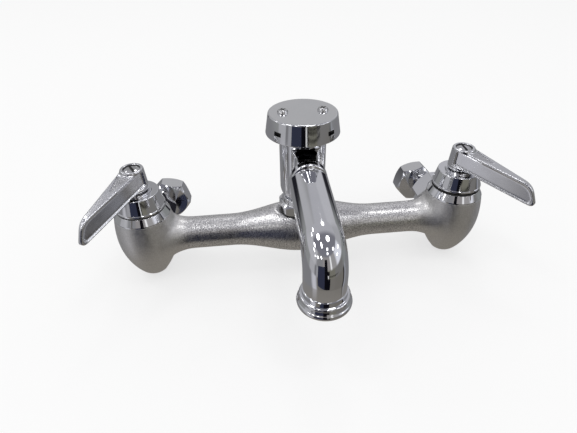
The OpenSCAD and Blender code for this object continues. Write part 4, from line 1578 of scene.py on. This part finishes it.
@dataclass
class Studio:
    """What the chrome reflects, the floor, the lamps and the camera."""

    table: Colour = (0.24, 0.225, 0.205)
    low: tuple[Band, ...] = (
        Band(-180, -97, (0.22, 0.22, 0.23)),
        Band(-93, -88.3, (0.33, 0.34, 0.38)),
        Band(-86.6, -80, (0.03, 0.027, 0.025)),
        Band(-78, -40, (0.17, 0.16, 0.145)),
        Band(-30, 46, (0.18, 0.17, 0.155)),
        Band(56, 68, (0.56, 0.56, 0.60)),
        Band(80, 180, (0.22, 0.22, 0.23)),
    )
    middle: tuple[Band, ...] = (
        Band(-180, -153, (0.36, 0.36, 0.37)),
        Band(-148, -141, (0.015, 0.015, 0.02)),
        Band(-136, -94, (0.25, 0.26, 0.26)),
        Band(-75, -38, (0.185, 0.18, 0.175)),
        Band(-34, 34, (0.185, 0.18, 0.15)),
        Band(37, 50, (0.34, 0.34, 0.36)),
        Band(54, 59, (0.20, 0.20, 0.21)),
        Band(61, 84, (0.42, 0.42, 0.44)),
        Band(89, 137, (0.28, 0.285, 0.285)),
        Band(141, 148, (0.015, 0.015, 0.02)),
        Band(153, 180, (0.36, 0.36, 0.37)),
    )
    high: tuple[Band, ...] = (
        Band(-180, -166, (0.45, 0.45, 0.46)),
        Band(-158, -140, (0.50, 0.50, 0.53)),
        Band(-125, -95, (0.40, 0.40, 0.42)),
        Band(-85, -55, (0.80, 0.81, 0.87)),
        Band(-45, -25, (0.34, 0.33, 0.33)),
        Band(-22, -18, (0.95, 0.95, 0.95)),
        Band(-15, 20, (0.30, 0.285, 0.285)),
        Band(25, 50, (0.25, 0.25, 0.26)),
        Band(60, 110, (0.48, 0.48, 0.50)),
        Band(125, 145, (0.44, 0.44, 0.46)),
        Band(155, 170, (0.34, 0.34, 0.35)),
        Band(178, 180, (0.42, 0.42, 0.43)),
    )
    ceiling_near: Colour = (0.20, 0.20, 0.23)
    ceiling_far: Colour = (0.44, 0.44, 0.47)
    ceiling_fade: tuple[float, float] = (0.05, 0.3)
    table_top: float = -45.0
    low_top: float = -13.0
    middle_top: float = 9.0
    high_top: float = 40.0
    blend: float = 3.0
    plain_light: float = 0.9
    cards: tuple[Card, ...] = (
        Card("bright_edge", 0.016, 0.080, (0.62, 0.62, 0.62), low=-0.10, high=-0.015),
        Card("dark_edge", 0.080, 0.130, (0.01, 0.01, 0.01), low=-0.10, high=-0.015),
        Card("black_card", -0.17, 0.014, (0.004, 0.004, 0.006), low=-0.62, high=0.55),
        Card("black_step_low", 0.014, 0.16, (0.004, 0.004, 0.006), low=-0.62, high=-0.12),
        Card("black_step_high", 0.014, 0.13, (0.004, 0.004, 0.006), low=0.0, high=0.12),
        Card("navy_card", -0.72, -0.17, (0.030, 0.034, 0.058), low=-0.62, high=0.28),
        Card("streak_top", 0.10, 0.90, (0.004, 0.004, 0.004), low=-0.063, high=-0.053, tilt=5.4),
        Card("streak_middle", 0.10, 0.90, (0.004, 0.004, 0.004), low=-0.0758, high=-0.0668,
             tilt=5.4),
        Card("streak_foot", 0.13, 0.83, (0.004, 0.004, 0.004), low=-0.098, high=-0.086, tilt=5.4),
    )
    lamp_height: float = 1.5
    lamp_output: float = 12.0
    lamps: tuple[Lamp, ...] = (
        Lamp(-1.3, 0.9, 0.2, 0.45),
        Lamp(0.15, 0.9, 0.28, 0.5),
        Lamp(-1.8, 0.7, 0.18, 0.4),
        Lamp(-0.7, -0.05, 0.4, 0.45),
        Lamp(0.4, -0.3, 0.42, 0.4),
        Lamp(-1.7, -0.35, 0.25, 0.5),
        Lamp(-0.5, -0.7, 0.2, 0.45),
        Lamp(-2.3, -0.7, 0.22, 0.5),
        Lamp(1.2, -0.97, 0.35, 0.28),
        Lamp(0.2, -1.05, 0.2, 0.25),
        Lamp(0.2, -1.45, 0.2, 0.3),
        Lamp(-2.8, -1.5, 0.3, 0.3),
        Lamp(-2.0, -1.8, 0.4, 0.5),
        Lamp(-1.1, -1.9, 0.22, 0.45),
        Lamp(2.7, -0.5, 0.4, 0.5),
        Lamp(2.9, -1.5, 0.4, 0.5),
    )
    floor_r: float = 6.0
    floor_gap: float = 0.0005
    floor_shade: float = 0.82
    floor_glow: float = 0.98
    floor_shadow: float = 0.35
    eye: Vector = field(default_factory=lambda: Vector((-31.06, -282.37, 174.59)))
    target: Vector = field(default_factory=lambda: Vector((-9.27, -51.0, 6.91)))
    roll: float = -1.1
    focal_length: float = 27.0
    sensor_width: float = 36.0
    clip_start: float = 0.01

    def levels(self) -> tuple[Level, ...]:
        """The studio's levels under its ceiling, from the table up."""
        return (Level(self.table_top, (Band(-180, 180, self.table),)),
                Level(self.low_top, self.low),
                Level(self.middle_top, self.middle),
                Level(self.high_top, self.high))

    def world(self) -> None:
        """White behind the object, plain light on it, and the studio in its reflections."""
        world = bpy.data.worlds.new("studio")
        bpy.context.scene.world = world
        graph = Graph.emptied(world)
        split = graph.node("SeparateXYZ")
        graph.link(graph.node("TexCoord").outputs["Generated"], split.inputs["Vector"])
        x, y, z = (split.outputs[axis] for axis in "XYZ")
        round_turn = graph.math("ARCTAN2", graph.math("MULTIPLY", x, -1.0),
                                graph.math("MULTIPLY", y, -1.0))
        share = graph.math("ADD", graph.math("DIVIDE", round_turn, math.tau), 0.5)
        height = graph.math("MULTIPLY", graph.math("ARCSINE", z), 180 / math.pi)
        levels = self.levels()
        layers = [self.banded(graph, share, level) for level in levels]
        far = graph.spread(y, self.ceiling_fade, (0.0, 1.0))
        layers.append(graph.mixed(far, self.ceiling_near, self.ceiling_far))
        studio = layers[0]
        for level, above in zip(levels, layers[1:]):
            span = (level.top - self.blend, level.top + self.blend)
            edge = graph.spread(height, span, (0.0, 1.0))
            studio = graph.mixed(edge, studio, above)
        path = graph.node("LightPath")
        lit = graph.mixed(path.outputs["Is Diffuse Ray"], studio, (self.plain_light,) * 3)
        seen = graph.mixed(path.outputs["Is Camera Ray"], lit, (1.0, 1.0, 1.0))
        background = graph.node("Background")
        graph.link(seen, background.inputs["Color"])
        graph.link(background.outputs["Background"], graph.node("OutputWorld").inputs["Surface"])

    @staticmethod
    def banded(graph: Graph, share: bpy.types.NodeSocket, level: Level) -> bpy.types.NodeSocket:
        """The colours of one level, by direction.

        Args:
            graph: The world's nodes.
            share: Direction round the studio, from 0 to 1.
            level: The level.

        Returns:
            The colour.
        """
        node = graph.node("ValToRGB")
        stops = node.color_ramp.elements
        stops.remove(stops[-1])
        edges = [(angle, band.colour) for band in level.bands for angle in (band.start, band.end)]
        for i, (angle, colour) in enumerate(edges):
            stop = stops[0] if i == 0 else stops.new(1.0)
            stop.position = angle / 360 + 0.5
            stop.color = (*colour, 1.0)
        graph.link(share, node.inputs["Fac"])
        return node.outputs["Color"]

    def floor(self) -> None:
        """A pale floor that turns white to the eye and keeps a soft shadow."""
        bm = bmesh.new()
        bmesh.ops.create_circle(bm, cap_ends=True, segments=64, radius=self.floor_r)
        bmesh.ops.translate(bm, verts=bm.verts[:], vec=(0, 0, CAD_BOX[0].z - self.floor_gap))
        floor = placed(bm, "floor", self.floor_material())
        floor.visible_glossy = False

    def floor_material(self) -> bpy.types.Material:
        """Mostly white light to the camera, plain pale to other rays, and clear from below."""
        material = bpy.data.materials.new("pale_floor")
        graph = Graph.emptied(material)
        matte = graph.node("BsdfDiffuse")
        matte.inputs["Color"].default_value = (*(self.floor_shade,) * 3, 1.0)
        glow = graph.node("Emission")
        glow.inputs["Strength"].default_value = self.floor_glow
        lit = graph.node("MixShader")
        lit.inputs["Fac"].default_value = self.floor_shadow
        graph.link(glow.outputs["Emission"], lit.inputs[1])
        graph.link(matte.outputs["BSDF"], lit.inputs[2])
        seen = graph.node("MixShader")
        graph.link(graph.node("LightPath").outputs["Is Camera Ray"], seen.inputs["Fac"])
        graph.link(matte.outputs["BSDF"], seen.inputs[1])
        graph.link(lit.outputs["Shader"], seen.inputs[2])
        sided = graph.node("MixShader")
        graph.link(graph.node("NewGeometry").outputs["Backfacing"], sided.inputs["Fac"])
        graph.link(seen.outputs["Shader"], sided.inputs[1])
        graph.link(graph.node("BsdfTransparent").outputs["BSDF"], sided.inputs[2])
        graph.link(sided.outputs["Shader"], graph.node("OutputMaterial").inputs["Surface"])
        return material

    def camera(self) -> None:
        """The camera, at the photograph's place and angle."""
        data = bpy.data.cameras.new("camera")
        data.lens = self.focal_length
        data.sensor_width = self.sensor_width
        data.clip_start = self.clip_start
        camera = bpy.data.objects.new("camera", data)
        aim = (self.target - self.eye).to_track_quat("-Z", "Y")
        camera.matrix_world = (Matrix.Translation(self.eye * MM) @ aim.to_matrix().to_4x4()
                               @ Euler((0, 0, math.radians(self.roll))).to_matrix().to_4x4())
        bpy.context.scene.collection.objects.link(camera)
        bpy.context.scene.camera = camera

    def build(self) -> None:
        """Makes the studio."""
        self.camera()
        self.world()
        for card in self.cards:
            card.build()
        for i, lamp in enumerate(self.lamps):
            lamp.build(f"ceiling_lamp_{i}", self.lamp_height, self.lamp_output)
        self.floor()
        bpy.context.scene.view_settings.view_transform = "Standard"


def dress_packed_parts() -> None:
    """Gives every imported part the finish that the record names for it."""
    for part in FRAME["record"]["subparts"]:
        mesh = FRAME["nodes"][part["node"]].data
        mesh.materials.clear()
        mesh.materials.append(FINISHES[part["material_slot"]].material())
        LOG.info("%s wears %s", part["node"], part["material_slot"])


def main() -> None:
    """Builds the faucet's pieces, its finishes and the studio."""
    logging.basicConfig(level=logging.INFO, format="%(message)s")
    dress_packed_parts()
    Yoke().build()
    Valve(Side.HOT, lever_turn=241.0, slot_turn=119.0).build()
    Valve(Side.COLD, lever_turn=-50.0, slot_turn=-90.0, foot_lift=0.9).build()
    for side in Side:
        InletArm(side).build()
    Spout().build()
    Outlet().build()
    VacuumBreaker().build()
    Studio().build()


if __name__ == "__main__":
    main()
